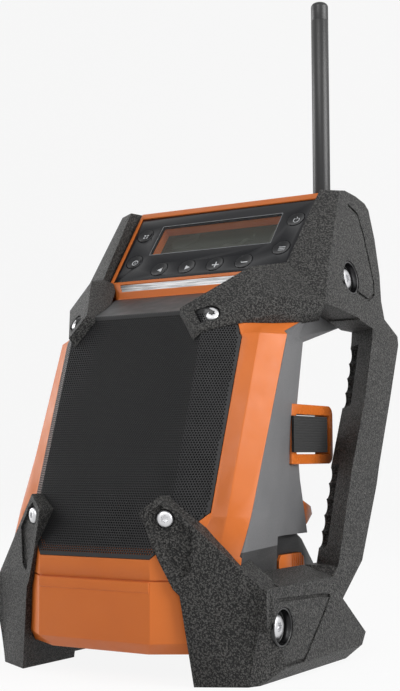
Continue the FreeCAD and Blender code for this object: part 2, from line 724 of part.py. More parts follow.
# Antenna: a folding rod between two ears on the floor of the channel behind the display
ANTENNA_X = 62.9
ANTENNA_Y = 180.9
ANTENNA_PIVOT_Z = 283.4
ANTENNA_R = 5.6
ANTENNA_TIP = 415.5
ANTENNA_CAP_LONG = 12.0
ANTENNA_SEAM = ANTENNA_TIP - ANTENNA_CAP_LONG
PIN_R = 1.6
PIN_GAP = 0.05
KNUCKLE_HALF = 2.4
EAR_THICK = 3.0
EAR_R = 4.7
pivot = V(ANTENNA_X, ANTENNA_Y, ANTENNA_PIVOT_Z)
ear_inner = KNUCKLE_HALF + RUN_GAP
ear_outer = ear_inner + EAR_THICK
pin = cylinder(PIN_R, pivot - BACK * ear_outer, BACK, 2 * ear_outer)


def ear(y0):
    round_part = cylinder(EAR_R, V(ANTENNA_X, y0, ANTENNA_PIVOT_Z), BACK, EAR_THICK)
    foot = box(ANTENNA_X - EAR_R, ANTENNA_X + EAR_R, y0, y0 + EAR_THICK, CHANNEL_FLOOR + 1.4,
               ANTENNA_PIVOT_Z)
    return round_part.fuse(foot)


base_foot = box(ANTENNA_X - EAR_R, ANTENNA_X + EAR_R, ANTENNA_Y - ear_outer, ANTENNA_Y + ear_outer,
                CHANNEL_FLOOR, CHANNEL_FLOOR + 1.5)
antenna_base = base_foot.fuse([ear(ANTENNA_Y - ear_outer), ear(ANTENNA_Y + ear_inner)])
antenna_base = antenna_base.cut(pin).removeSplitter()
save("antenna_base", antenna_base)
save("antenna_pin", pin)

KNUCKLE_TOP = ANTENNA_PIVOT_Z + EAR_R + 0.9
knuckle = cylinder(4.2, pivot - BACK * KNUCKLE_HALF, BACK, 2 * KNUCKLE_HALF)
neck = box(ANTENNA_X - 4.2, ANTENNA_X + 4.2, ANTENNA_Y - KNUCKLE_HALF, ANTENNA_Y + KNUCKLE_HALF,
           ANTENNA_PIVOT_Z, KNUCKLE_TOP + 1)
rod = cylinder(ANTENNA_R, V(ANTENNA_X, ANTENNA_Y, KNUCKLE_TOP), UP, ANTENNA_SEAM - KNUCKLE_TOP)
rod = rod.fuse([knuckle, neck]).cut(cylinder(PIN_R + PIN_GAP, pivot - BACK * 9, BACK, 18))
save("antenna_rod", rod.removeSplitter())
tip = cylinder(ANTENNA_R, V(ANTENNA_X, ANTENNA_Y, ANTENNA_SEAM), UP, ANTENNA_TIP - ANTENNA_SEAM)
tip = tip.makeFillet(ANTENNA_R * 0.55, [edge for edge in tip.Edges
                                        if abs(edge.BoundBox.ZMin - ANTENNA_TIP) < 0.01
                                        and edge.BoundBox.ZLength < 0.01])
save("antenna_cap", tip)

# Holder on the back: a loop at each side, an elastic strap through both and a ledge below
LOOP_Y = (125.5, 182.0)
LOOP_Z = (116.2, 152.2)
LOOP_X = (58.0, 68.3)
LOOP_BAR = 6.6
LOOP_CORNER = 6.0
STRAP_THICK = 1.7
STRAP_Z = (123.3, 145.1)
STRAP_X = LOOP_X[1] + 0.25
STRAP_CROSS_Y = LOOP_Y[1] - LOOP_BAR - 2.6


def loop_shape():
    outer = box(LOOP_X[0], LOOP_X[1], *LOOP_Y, *LOOP_Z)
    corners = [edge for edge in outer.Edges
               if edge.BoundBox.XLength > 1 and edge.BoundBox.YMax > LOOP_Y[1] - 0.01]
    outer = outer.makeFillet(LOOP_CORNER, corners)
    window_hole = box(LOOP_X[0] - 1, LOOP_X[1] + 1, LOOP_Y[0] + LOOP_BAR, LOOP_Y[1] - LOOP_BAR + 1.2,
                      LOOP_Z[0] + LOOP_BAR - 0.6, LOOP_Z[1] - LOOP_BAR + 0.6)
    return outer.cut(window_hole)


loop = loop_shape()
save("strap_loop_right", loop)
save("strap_loop_left", mirrored(loop))

side_run = box(STRAP_X, STRAP_X + STRAP_THICK, LOOP_Y[0] - 1.0, STRAP_CROSS_Y, *STRAP_Z)
cross_run = box(-STRAP_X - STRAP_THICK, STRAP_X + STRAP_THICK, STRAP_CROSS_Y - STRAP_THICK,
                STRAP_CROSS_Y, *STRAP_Z)
save("holding_strap", cross_run.fuse([side_run, mirrored(side_run)]).removeSplitter())

LEDGE_HALF = 64.0
LEDGE_PROFILE = [(138.0, 95.0), (146.5, 95.0), (158.5, 90.5), (160.5, 85.5), (153.0, 79.6), (138.0, 79.6)]
TROUGH = [(147.5, 100.0), (147.5, 85.0), (152.5, 83.2), (157.5, 87.5), (157.5, 100.0)]
ledge = side_prism(LEDGE_PROFILE, -LEDGE_HALF, LEDGE_HALF)
ledge = without(ledge, side_prism(TROUGH, 2.5 - LEDGE_HALF, LEDGE_HALF - 2.5), body(0))
save("device_ledge", ledge.removeSplitter())

# Battery pack: a two-part case with its cells, hung on two rails and drawn out backwards
PACK_HALF = 62.0
PACK_LOW = 18.0
PACK_TOP = BAY_ROOF - SLIDE_GAP
PACK_FRONT = BAY_FRONT + SLIDE_GAP
PACK_SEAM_Z = 36.0
PACK_WALL = 2.2
PACK_PROFILE = [(PACK_FRONT, PACK_LOW), (PACK_FRONT, PACK_TOP), (143.0, PACK_TOP), (149.5, 71.0),
                (167.3, 53.2), (167.3, PACK_LOW + 5), (162.0, PACK_LOW)]
PACK_INNER = [(PACK_FRONT + 12.0, PACK_LOW + PACK_WALL), (PACK_FRONT + 12.0, 63.5), (140.0, 63.5),
              (150.0, 63.5), (165.0, 51.5), (165.0, PACK_LOW + 6), (161.0, PACK_LOW + PACK_WALL)]
RAIL_X = 24.0
RAIL_END = 146.0
LATCH_Y = (116.5, 153.0)
LATCH_Z = (38.0, 63.0)
LATCH_PROUD = 1.2
LATCH_DEPTH = 6.0
LATCH_TRAVEL = 2.5
CELL_R = 9.2


def rail(x, grow):
    web = box(x - 2 - grow, x + 2 + grow, BAY_FRONT, RAIL_END + grow * 4, PACK_TOP - 5.0 - grow, BAY_ROOF)
    flange = box(x - 5 - grow, x + 5 + grow, BAY_FRONT, RAIL_END + grow * 4, PACK_TOP - 5.0 - grow,
                 PACK_TOP - 3.0 + grow)
    return web.fuse(flange)


rails = [rail(RAIL_X, 0), rail(-RAIL_X, 0)]
rail_slots = []
for x in (RAIL_X, -RAIL_X):
    slot = rail(x, SLIDE_GAP)
    rail_slots.append(slot.fuse(box(x - 2 - SLIDE_GAP, x + 2 + SLIDE_GAP, BAY_FRONT, RAIL_END + 1.2,
                                    PACK_TOP - 1, PACK_TOP + 1)))


def latch_block(grow, x0, x1):
    y0, y1 = LATCH_Y
    z0, z1 = LATCH_Z
    return side_prism([(y0 - grow, z0 - grow), (y0 + 1.5 - grow, z1 - 3 + grow), (y0 + 4, z1 + grow),
                       (y1 - 7, z1 + grow), (y1 - 3 + grow, z1 - 3 + grow), (y1 + grow, z0 - grow)],
                      x0, x1)


RIB_PITCH = 2.6
RIB_COUNT = 6
latch = latch_block(0, PACK_HALF + LATCH_PROUD - LATCH_DEPTH, PACK_HALF + LATCH_PROUD)
for number in range(RIB_COUNT):
    y = 134.0 + number * RIB_PITCH
    latch = latch.cut(box(PACK_HALF + LATCH_PROUD - 0.7, 70, y, y + 1.0, LATCH_Z[0] - 1, LATCH_Z[1] + 1))
latch_pocket = latch_block(SLIDE_GAP, PACK_HALF + LATCH_PROUD - LATCH_DEPTH - LATCH_TRAVEL - 0.2,
                           PACK_HALF + 5)
pack = side_prism(PACK_PROFILE, -PACK_HALF, PACK_HALF)
pack_hollow = side_prism(PACK_INNER, -PACK_HALF + 10.5, PACK_HALF - 10.5)
BLADE_X = (-12.0, -4.0, 4.0, 12.0)
BLADE_Z = (42.0, 52.0)
BLADE_LONG = 8.0
blades = [box(x - 0.4, x + 0.4, BAY_FRONT - 4.0, BAY_FRONT + BLADE_LONG, *BLADE_Z) for x in BLADE_X]
blade_slots = [box(x - 1.0, x + 1.0, BAY_FRONT, BAY_FRONT + BLADE_LONG + 1.0, BLADE_Z[0] - 1,
                   BLADE_Z[1] + 1) for x in BLADE_X]
pack = without(pack, pack_hollow, latch_pocket, mirrored(latch_pocket), *rail_slots, *blade_slots)
save("battery_case_upper", pack.common(box(-90, 90, 90, 200, PACK_SEAM_Z, 90)).removeSplitter())
save("battery_case_lower", pack.common(box(-90, 90, 90, 200, 0, PACK_SEAM_Z)).removeSplitter())
save("battery_latch_right", latch)
save("battery_latch_left", mirrored(latch))
cells = [cylinder(CELL_R, V(-48, y, z), RIGHT, 96)
         for y, z in ((129.5, PACK_LOW + PACK_WALL + CELL_R), (148.5, PACK_LOW + PACK_WALL + CELL_R),
                      (139.0, PACK_LOW + PACK_WALL + CELL_R + 16.4))]
save("battery_cells", *cells)
save("terminal_blades", *blades)

# Sockets behind a hinged cover on the rear wall, and the boards inside
PORT_Z = 165.0
port_base = V(0, 149.0 - (SHOULDER_LOW - PORT_Z) * (149.0 - 123.0) / (SHOULDER_LOW - CHEEK_HIGH), PORT_Z)


def on_wall(shape):
    return placed(shape, port_base, WALL_UP, WALL_OUT)


COVER_HALF = 20.0
COVER_THICK = 2.0
COVER_TALL = 8.0
JACK_R = 1.78
JACK_X = 10.0
USB_X = -8.0
port_hole = on_wall(box(-17, 17, -5.5, 5.5, -6, 6))
port_plate = box(-17, 17, -5.5, 5.5, -WALL - 1.2, -0.8)
usb_mouth = box(USB_X - 6.2, USB_X + 6.2, -2.3, 2.3, -14, 2)
jack_mouth = cylinder(JACK_R, V(JACK_X, 0, -20), UP, 30)
save("port_panel", on_wall(without(port_plate, usb_mouth, jack_mouth)))
usb = box(USB_X - 7.2, USB_X + 7.2, -3.5, 3.5, -17.5, -WALL - 1.2).cut(usb_mouth)
usb = usb.fuse(box(USB_X - 5.2, USB_X + 5.2, 0.2, 1.6, -14.5, -5.0))
save("usb_socket", on_wall(usb))
jack = cylinder(4.2, V(JACK_X, 0, -18.5), UP, 18.5 - WALL - 1.2).cut(jack_mouth)
save("audio_socket", on_wall(jack))
HINGE_R = 1.6
HINGE_PIN_R = 0.8
cover_plate = box(-COVER_HALF, COVER_HALF, -COVER_TALL, COVER_TALL, 0.3, 0.3 + COVER_THICK)
barrel_z = 0.3 + HINGE_R
cover = cover_plate.fuse(cylinder(HINGE_R, V(-COVER_HALF, -COVER_TALL - 1.0, barrel_z), RIGHT, 2 * COVER_HALF))
cover = cover.cut(cylinder(HINGE_PIN_R + PIN_GAP, V(-40, -COVER_TALL - 1.0, barrel_z), RIGHT, 80))
save("port_cover", on_wall(cover.removeSplitter()))
hinge_ears = [box(x, x + 2.5, -COVER_TALL - 1.0 - HINGE_R, -COVER_TALL - 1.0 + HINGE_R, -0.8,
                  barrel_z + HINGE_R) for x in (-COVER_HALF - 2.8, COVER_HALF + 0.3)]
hinge_pin = cylinder(HINGE_PIN_R, V(-COVER_HALF - 2.8, -COVER_TALL - 1.0, barrel_z), RIGHT,
                     2 * COVER_HALF + 5.6)
save("port_hinge_pin", on_wall(hinge_pin))
ears = [on_wall(part.cut(hinge_pin)) for part in hinge_ears]

SHELF_TOP = BAY_ROOF + WALL
POST_HIGH = 4.0
BOARD_HALF = 48.0
BOARD_Y = (72.0, 118.0)
posts = [cylinder(3.0, V(x, BAY_FRONT + 3.5, BAY_ROOF + 0.5), UP, WALL - 0.5 + POST_HIGH)
         for x in (-40, 40)]
posts += [box(x - 3, x + 3, 76, 82, BODY_LOW + 1, SHELF_TOP + POST_HIGH) for x in (-40, 40)]
BOARD_Z = SHELF_TOP + POST_HIGH
main_board = box(-BOARD_HALF, BOARD_HALF, *BOARD_Y, BOARD_Z, BOARD_Z + BOARD_THICK)
save("main_board", main_board)
save("board_parts", box(-30, -12, 84, 102, BOARD_Z + BOARD_THICK, BOARD_Z + BOARD_THICK + 6),
     box(4, 34, 82, 88, BOARD_Z + BOARD_THICK, BOARD_Z + BOARD_THICK + 14),
     cylinder(5, V(-38, 96, BOARD_Z + BOARD_THICK), UP, 14),
     cylinder(5, V(42, 106, BOARD_Z + BOARD_THICK), UP, 14))

# Driver: baffle, basket, magnet, surround, moving cone with its dust cap, four screws
BASKET_RIM = 3.0
CONE_OUT = 30.0
baffle = on_baffle(box(-90, 90, -90, 90, -BAFFLE_THICK, 0)).common(body(WALL))
baffle = baffle.common(box(-90, 90, 0, 150, 68, 206))
baffle = baffle.cut(on_baffle(cylinder(DRIVER_R - 4, V(0, 0, -9), UP, 18)))
behind_cloth = speaker_box(SHEET + 0.5 + 0.2)
baffle = baffle.fuse([post.common(behind_cloth) for post in arm_posts])
BASKET_DEEP = 24.0
basket = cylinder(DRIVER_R, V(0, 0, 0), UP, BASKET_RIM - 1)
basket = basket.fuse(cone_shape(22.0, DRIVER_R - 4.3, 1.6, -BASKET_DEEP, 0.5))
basket = basket.fuse(cylinder(22.0, V(0, 0, -BASKET_DEEP - 2), UP, 2.2))
basket = without(basket, cylinder(DRIVER_R - 6, V(0, 0, 0), UP, 9), cylinder(9.0, V(0, 0, -40), UP, 30))
driver_screws = []
for turn in range(4):
    angle = math.radians(45 + 90 * turn)
    spot = V((DRIVER_R - 2.6) * math.cos(angle), (DRIVER_R - 2.6) * math.sin(angle), BASKET_RIM - 1)
    driver_screws.append(screw(1.2, 2.2, 1.4, 5.0, spot, UP))
basket = without(basket, *driver_screws)
baffle = without(baffle, *[on_baffle(part) for part in driver_screws], *arm_screws)
magnet = cylinder(25.0, V(0, 0, -BASKET_DEEP - 14), UP, 12).cut(cylinder(9.0, V(0, 0, -60), UP, 60))
magnet = magnet.fuse(cylinder(23.0, V(0, 0, -BASKET_DEEP - 17), UP, 3.5))
surround = Part.makeTorus(CONE_OUT + 1.0, 2.0, V(0, 0, 2.0), UP)
surround = cylinder(DRIVER_R - 5.0, V(0, 0, 2.0), UP, 1.0).fuse(surround)
surround = surround.cut(cylinder(CONE_OUT - 1.2, V(0, 0, -9), UP, 20))
surround = surround.cut(box(-60, 60, -60, 60, -9, 2.0))
cone = cone_shape(10.0, CONE_OUT - 1.6, 0.8, -12.0, 3.2)
CAP_R = 13.0
CAP_MIDDLE = V(0, 0, -18.0)
dust_cap = Part.makeSphere(CAP_R, CAP_MIDDLE).common(box(-20, 20, -20, 20, -11.0, 0))
dust_cap = without(dust_cap, Part.makeSphere(CAP_R - 0.8, CAP_MIDDLE), cone)
save("speaker_baffle", baffle)
save("speaker_basket", on_baffle(basket))
save("speaker_magnet", on_baffle(magnet.removeSplitter()))
save("speaker_surround", on_baffle(surround))
save("speaker_cone", on_baffle(cone))
save("speaker_dust_cap", on_baffle(dust_cap))
save("speaker_screws", *[on_baffle(part) for part in driver_screws])

# The nose carries a raised lip with a fine groove above it
LIP_Z = (48.5, 54.3)
LIP_PROUD = 0.8
LIP_HALF = 36.8
nose_lip = side_prism([(NOSE_FRONT + 1, LIP_Z[0]), (NOSE_FRONT, LIP_Z[0]),
                       (NOSE_FRONT - LIP_PROUD, LIP_Z[0] + LIP_PROUD),
                       (NOSE_FRONT - LIP_PROUD, LIP_Z[1]), (NOSE_FRONT + 1, LIP_Z[1])],
                      -LIP_HALF, LIP_HALF)
nose_groove = box_outer.cut(speaker_box(0.8)).common(box(-90, 90, 0, 44, LIP_Z[1] + 0.3, LIP_Z[1] + 1.2))

# Casings, last, because the other pieces shape their holes, posts and pockets
cavity = without(body(WALL), bay(WALL), channel(WALL))
shell = without(body(0), cavity, bay(0), channel(0))
loop_notch = box(LOOP_X[0] - 0.1, 90, LOOP_Y[0] - 0.1, 200, LOOP_Z[0] - 0.1, LOOP_Z[1] + 0.1)
loop_wall = box(LOOP_X[0] - 0.1 - WALL, 90, LOOP_Y[0] - 0.1 - WALL, 200, LOOP_Z[0] - 0.1 - WALL,
                LOOP_Z[1] + 0.1 + WALL).common(body(0))
shell = shell.fuse([loop_wall, mirrored(loop_wall)])
for post in bosses:
    shell = shell.fuse(post.common(body(0.5)))
shell = without(shell, loop_notch, mirrored(loop_notch), *arm_screws, *side_screws)
ledge_of_panel = on_panel(fascia_plate(0.2, FASCIA_BACK, 12), 0, 0)
behind_panel = on_panel(fascia_plate(-2.5, -16, 12), 0, 0)
bezel = shell.common(front_side(0))
bezel = without(bezel, ledge_of_panel, behind_panel, lens_plate(0, -LENS_THICK, 12),
                led_strip, lens_plate(-3.0, -8.0, 0), mesh_zone(0).cut(box_sheet), mesh_zone(LEDGE_WIDE),
                nose_groove)
bezel = bezel.fuse(nose_lip)
housing = shell.cut(front_side(SEAM_GAP)).fuse([*rails, *ears, *posts])
housing = without(housing, port_hole, on_wall(port_plate), *blades)
save("front_bezel", bezel.removeSplitter())
save("rear_housing", housing.removeSplitter())
save("speaker_grille", without(grille, *arm_screws))
save("grille_cloth", without(cloth, *arm_screws))
save("cage_right", cage)
save("cage_left", mirrored(cage))
save("arm_screws", *arm_screws)
save("side_screws", *side_screws)
save("screw_cups", *cups)
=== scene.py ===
import json
import math

import bmesh
import bpy
import numpy as np
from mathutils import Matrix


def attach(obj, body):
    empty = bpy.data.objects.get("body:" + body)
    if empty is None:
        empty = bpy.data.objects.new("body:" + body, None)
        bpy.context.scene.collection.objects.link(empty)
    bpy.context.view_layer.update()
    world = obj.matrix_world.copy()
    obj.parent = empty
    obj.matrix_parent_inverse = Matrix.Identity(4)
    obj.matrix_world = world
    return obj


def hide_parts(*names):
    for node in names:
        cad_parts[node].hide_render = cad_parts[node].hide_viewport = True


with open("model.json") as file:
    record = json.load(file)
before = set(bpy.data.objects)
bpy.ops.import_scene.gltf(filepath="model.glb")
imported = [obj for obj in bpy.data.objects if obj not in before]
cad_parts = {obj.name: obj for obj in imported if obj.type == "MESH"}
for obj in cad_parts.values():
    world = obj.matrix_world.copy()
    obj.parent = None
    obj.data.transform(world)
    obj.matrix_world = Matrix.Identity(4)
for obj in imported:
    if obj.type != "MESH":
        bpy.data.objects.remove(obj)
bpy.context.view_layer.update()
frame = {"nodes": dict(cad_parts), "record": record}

# Cage
# The radio hangs in two mouldings of black rubber over a stiff core. Their faces carry a
# coarse moulded grain with a painted highlight on its high points, and the edges are rounded.
MM = 0.001
CAGE_EDGE = 1.1 * MM
CAGE_BLACK = "#0b0b0b"
# Pale colour of the painted highlight on the high points of the grain.
CAGE_PAINTED_GLINT = "#565553"


def linear(colour):
    """The linear-light colour of an sRGB hex colour: each channel taken through the sRGB curve."""
    channels = [int(colour[start:start + 2], 16) / 255 for start in (1, 3, 5)]
    low = [channel / 12.92 for channel in channels]
    high = [((channel + 0.055) / 1.055) ** 2.4 for channel in channels]
    return tuple(a if c <= 0.04045 else b for a, b, c in zip(low, high, channels)) + (1.0,)


def add(tree, kind, inputs=(), **settings):
    """Adds one node, with its settings, and with its inputs set to values or joined to sockets."""
    node = tree.nodes.new(kind)
    for name, value in settings.items():
        setattr(node, name, value)
    for name, value in dict(inputs).items():
        if isinstance(value, bpy.types.NodeSocket):
            tree.links.new(value, node.inputs[name])
        else:
            node.inputs[name].default_value = value
    return node


def start_material(name, colour, roughness, **sockets):
    """A material of one base colour and roughness, its other shader sockets set by their names."""
    material = bpy.data.materials.new(name)
    material.use_nodes = True
    shader = material.node_tree.nodes["Principled BSDF"]
    shader.inputs["Base Color"].default_value = linear(colour)
    shader.inputs["Roughness"].default_value = roughness
    for socket, value in sockets.items():
        shader.inputs[socket.replace("_", " ").title().replace("Ior", "IOR")].default_value = value
    return material, material.node_tree, shader


def millimetres(tree):
    """The place on the object in millimetres, as a vector socket."""
    place = add(tree, "ShaderNodeTexCoord").outputs["Object"]
    return add(tree, "ShaderNodeVectorMath", {0: place, 3: 1000.0}, operation="SCALE").outputs[0]


def noise(tree, place, size, detail=3.0, rough=0.5):
    """Soft random pattern, from 0 to 1, whose blotches are about size millimetres wide."""
    inputs = {"Vector": place, "Scale": 1.0 / size, "Detail": detail, "Roughness": rough}
    return add(tree, "ShaderNodeTexNoise", inputs).outputs["Fac"]


def spread(tree, value, low, high, new_low, new_high):
    """The value moved from one range to another, and held inside it."""
    inputs = {"Value": value, "From Min": low, "From Max": high, "To Min": new_low, "To Max": new_high}
    return add(tree, "ShaderNodeMapRange", inputs).outputs["Result"]


def tint(tree, factor, first, second):
    """A colour between two hex colours."""
    mix = add(tree, "ShaderNodeMix", data_type="RGBA")
    tree.links.new(factor, mix.inputs[0])
    mix.inputs[6].default_value = linear(first)
    mix.inputs[7].default_value = linear(second)
    return mix.outputs[2]


def relief(tree, shader, height, depth, strength=1.0):
    """Raises the surface by the height pattern times depth millimetres."""
    inputs = {"Height": height, "Distance": depth * MM, "Strength": strength}
    bump = add(tree, "ShaderNodeBump", inputs)
    tree.links.new(bump.outputs["Normal"], shader.inputs["Normal"])


def cage_rubber():
    """Moulded rubber: crowded pebbles about a millimetre across, black, with a painted highlight on their
    high points.
    """
    material, tree, shader = start_material("moulded rubber grain, painted glints", CAGE_BLACK, 0.5,
                                            specular_ior_level=0.3)
    place = millimetres(tree)
    pebbles = add(tree, "ShaderNodeTexVoronoi", {"Vector": place, "Scale": 1.2}, feature="SMOOTH_F1")
    fine = noise(tree, place, 0.42, 4.0, 0.65)
    coarse = noise(tree, place, 1.1, 2.0, 0.5)
    height = add(tree, "ShaderNodeMath", {0: fine, 1: pebbles.outputs["Distance"]}, operation="SUBTRACT")
    height = add(tree, "ShaderNodeMath", {0: height.outputs[0], 1: coarse}, operation="ADD")
    relief(tree, shader, height.outputs[0], 0.8)
    # Painted highlight: the higher the grain, the paler its colour.
    painted_glint = spread(tree, height.outputs[0], 0.48, 0.8, 0.0, 1.0)
    tree.links.new(tint(tree, painted_glint, CAGE_BLACK, CAGE_PAINTED_GLINT), shader.inputs["Base Color"])
    tree.links.new(spread(tree, fine, 0.3, 0.7, 0.38, 0.62), shader.inputs["Roughness"])
    return material


def paint(piece, material):
    """Gives the whole piece one material."""
    piece.data.materials.clear()
    piece.data.materials.append(material)


def body_holding(node):
    """Name of the CAD body that carries a node."""
    for name, members in frame["record"]["behaviour"]["bodies"].items():
        if node in members:
            return name
    raise KeyError(node)


def softened(node, edge, material, segments=2, angle=24.0):
    """A merged copy of a CAD node with its edges rounded, standing in for the node."""
    source = frame["nodes"][node]
    piece = bpy.data.objects.new(node + "_finish", source.data.copy())
    bpy.context.scene.collection.objects.link(piece)
    weld = piece.modifiers.new("weld", "WELD")
    weld.merge_threshold = 0.000002
    bevel = piece.modifiers.new("rounded edges", "BEVEL")
    bevel.width = edge
    bevel.segments = segments
    bevel.limit_method = "ANGLE"
    bevel.angle_limit = math.radians(angle)
    bevel.harden_normals = False
    bevel.use_clamp_overlap = True
    baked = bpy.data.meshes.new_from_object(piece.evaluated_get(bpy.context.evaluated_depsgraph_get()))
    piece.modifiers.clear()
    piece.data = baked
    piece.data.name = node + "_finish"
    smooth_below(piece, 32.0)
    paint(piece, material)
    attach(piece, body_holding(node))
    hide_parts(node)
    return piece


def smooth_below(piece, angle):
    """Shades the piece smooth across edges that turn by less than angle degrees."""
    piece.data.shade_smooth()
    piece.data.set_sharp_from_angle(angle=math.radians(angle))


CAGE_RUBBER = cage_rubber()
for side in ("right", "left"):
    softened("cage_" + side, CAGE_EDGE, CAGE_RUBBER, segments=3)

# Front bezel
# One satin moulding in orange ABS, which carries the grille, the display and the speaker.
# It has a very fine spark-eroded texture and the faint waviness of a large flat moulding.
ORANGE = "#d1702c"
ORANGE_SHADE = "#c66626"


def orange_abs(name, grain=0.03, roughness=0.42):
    """Moulded ABS: fine even texture, with slow waves that bend the reflections."""
    material, tree, shader = start_material(name, ORANGE, roughness, specular_ior_level=0.35)
    place = millimetres(tree)
    fine = noise(tree, place, 0.35, 2.0)
    waves = noise(tree, place, 30.0, 1.0)
    both = add(tree, "ShaderNodeMath", {0: waves, 1: 14.0, 2: fine}, operation="MULTIPLY_ADD")
    relief(tree, shader, both.outputs[0], grain)
    tree.links.new(tint(tree, waves, ORANGE, ORANGE_SHADE), shader.inputs["Base Color"])
    rub = noise(tree, place, 9.0, 5.0)
    tree.links.new(spread(tree, rub, 0.3, 0.7, roughness - 0.05, roughness + 0.07),
                   shader.inputs["Roughness"])
    return material


ORANGE_ABS = orange_abs("moulded ABS orange")
softened("front_bezel", 0.5 * MM, ORANGE_ABS)

# Rear housing
# The back shell is a matt grey moulding with a leathery spark texture. It closes the bezel
# from behind and holds the rails of the battery, the sockets and the antenna's foot.
HOUSING_GREY = "#6c6c6d"
HOUSING_DARK = "#5e5e60"
# Below a set height the rear housing is painted nearly black: a painted shade on its lower part.
PAINTED_SHADE_BLACK = "#232324"
PAINTED_SHADE_TOP = 70.0
PAINTED_SHADE_FADE = 0.3


def housing_abs():
    """Moulded ABS in grey, matt and leathery; below a set height it is painted nearly black, as painted
    shade.
    """
    material, tree, shader = start_material("moulded ABS grey", HOUSING_GREY, 0.5)
    place = millimetres(tree)
    leather = noise(tree, place, 0.6, 3.0, 0.6)
    relief(tree, shader, leather, 0.1)
    patches = noise(tree, place, 18.0, 3.0)
    height = add(tree, "ShaderNodeSeparateXYZ", {"Vector": place}).outputs["Z"]
    # The painted shade: the colour turns nearly black below the set height.
    below = spread(tree, height, PAINTED_SHADE_TOP - PAINTED_SHADE_FADE, PAINTED_SHADE_TOP, 1.0, 0.0)
    colours = add(tree, "ShaderNodeMix", {6: tint(tree, patches, HOUSING_GREY, HOUSING_DARK),
                                          7: linear(PAINTED_SHADE_BLACK)}, data_type="RGBA")
    tree.links.new(below, colours.inputs[0])
    tree.links.new(colours.outputs[2], shader.inputs["Base Color"])
    tree.links.new(spread(tree, leather, 0.3, 0.7, 0.44, 0.6), shader.inputs["Roughness"])
    return material


HOUSING_ABS = housing_abs()
softened("rear_housing", 0.5 * MM, HOUSING_ABS)
paint(frame["nodes"]["port_panel"], HOUSING_ABS)

# Speaker grille
# A sheet of black powder-coated steel with round holes in staggered rows, folded along two
# lines and bent back at its top, over a black cloth. Its border and its top are not pierced.
MIDDLE_Y = 122.2
GRILLE_BLACK = "#222223"
LEVEL = np.array([65.7, 89.0, 191.0, 204.3, 221.1])
FOLD_X = np.array([37.3, 45.5, 45.5, 45.5, 47.0])
FOLD_Y = np.array([20.5, 27.81, 59.83, 64.0, 110.6])
EDGE_X = np.array([55.0, 61.5, 62.5, 60.0, 52.0])
EDGE_Y = np.array([35.0, 43.96, 77.68, 86.0, 117.0])
RIM_LEVEL = np.array([66.5, 91.0, 189.0, 213.3, 220.0])
RIM_X = np.array([36.8, 60.9, 62.2, 51.8, 46.8])
HOLE_PITCH = 1.6
HOLE_R = 0.55
HOLE_SIDES = 12
SHEET_THICK = 0.9
RIM_PLAIN = 1.9
PIERCED_TO = 202.0
SHEET_INSET = 0.03
CLOTH_BACK = 0.93
climb = np.concatenate([[0.0], np.cumsum(np.hypot(np.diff(FOLD_Y), np.diff(LEVEL)))])


def grille_point(across, along):
    """The folded sheet: along runs up the front, across runs sideways over the fold and onto the wing."""
    z = np.interp(along, climb, LEVEL)
    fold_x = np.interp(z, LEVEL, FOLD_X)
    fold_y = np.interp(z, LEVEL, FOLD_Y)
    edge_x = np.interp(z, LEVEL, EDGE_X)
    edge_y = np.interp(z, LEVEL, EDGE_Y)
    wing = np.hypot(edge_x - fold_x, edge_y - fold_y)
    past = np.clip((np.abs(across) - fold_x) / wing, 0.0, None)
    x = np.minimum(np.abs(across), fold_x) + past * (edge_x - fold_x)
    y = fold_y + past * (edge_y - fold_y) + SHEET_INSET
    return np.stack([np.sign(across) * x, y - MIDDLE_Y, z], axis=-1)


def rim_across(along):
    """How far across the sheet reaches at this place along it, measured over the fold."""
    z = np.interp(along, climb, LEVEL)
    rim_x = np.interp(z, RIM_LEVEL, RIM_X)
    fold_x = np.interp(z, LEVEL, FOLD_X)
    edge_x = np.interp(z, LEVEL, EDGE_X)
    slant = np.hypot(edge_x - fold_x, np.interp(z, LEVEL, EDGE_Y) - np.interp(z, LEVEL, FOLD_Y))
    past = np.clip(rim_x - fold_x, 0.0, None) / (edge_x - fold_x)
    return np.minimum(rim_x, fold_x) + past * slant


def faces_mesh(name, points, faces):
    """Mesh of the given points in millimetres and polygons, with doubled points merged."""
    mesh = bpy.data.meshes.new(name)
    mesh.from_pydata((points * MM).tolist(), [], faces)
    merged = bmesh.new()
    merged.from_mesh(mesh)
    bmesh.ops.remove_doubles(merged, verts=merged.verts, dist=0.000004)
    merged.to_mesh(mesh)
    merged.free()
    piece = bpy.data.objects.new(name, mesh)
    bpy.context.scene.collection.objects.link(piece)
    return piece


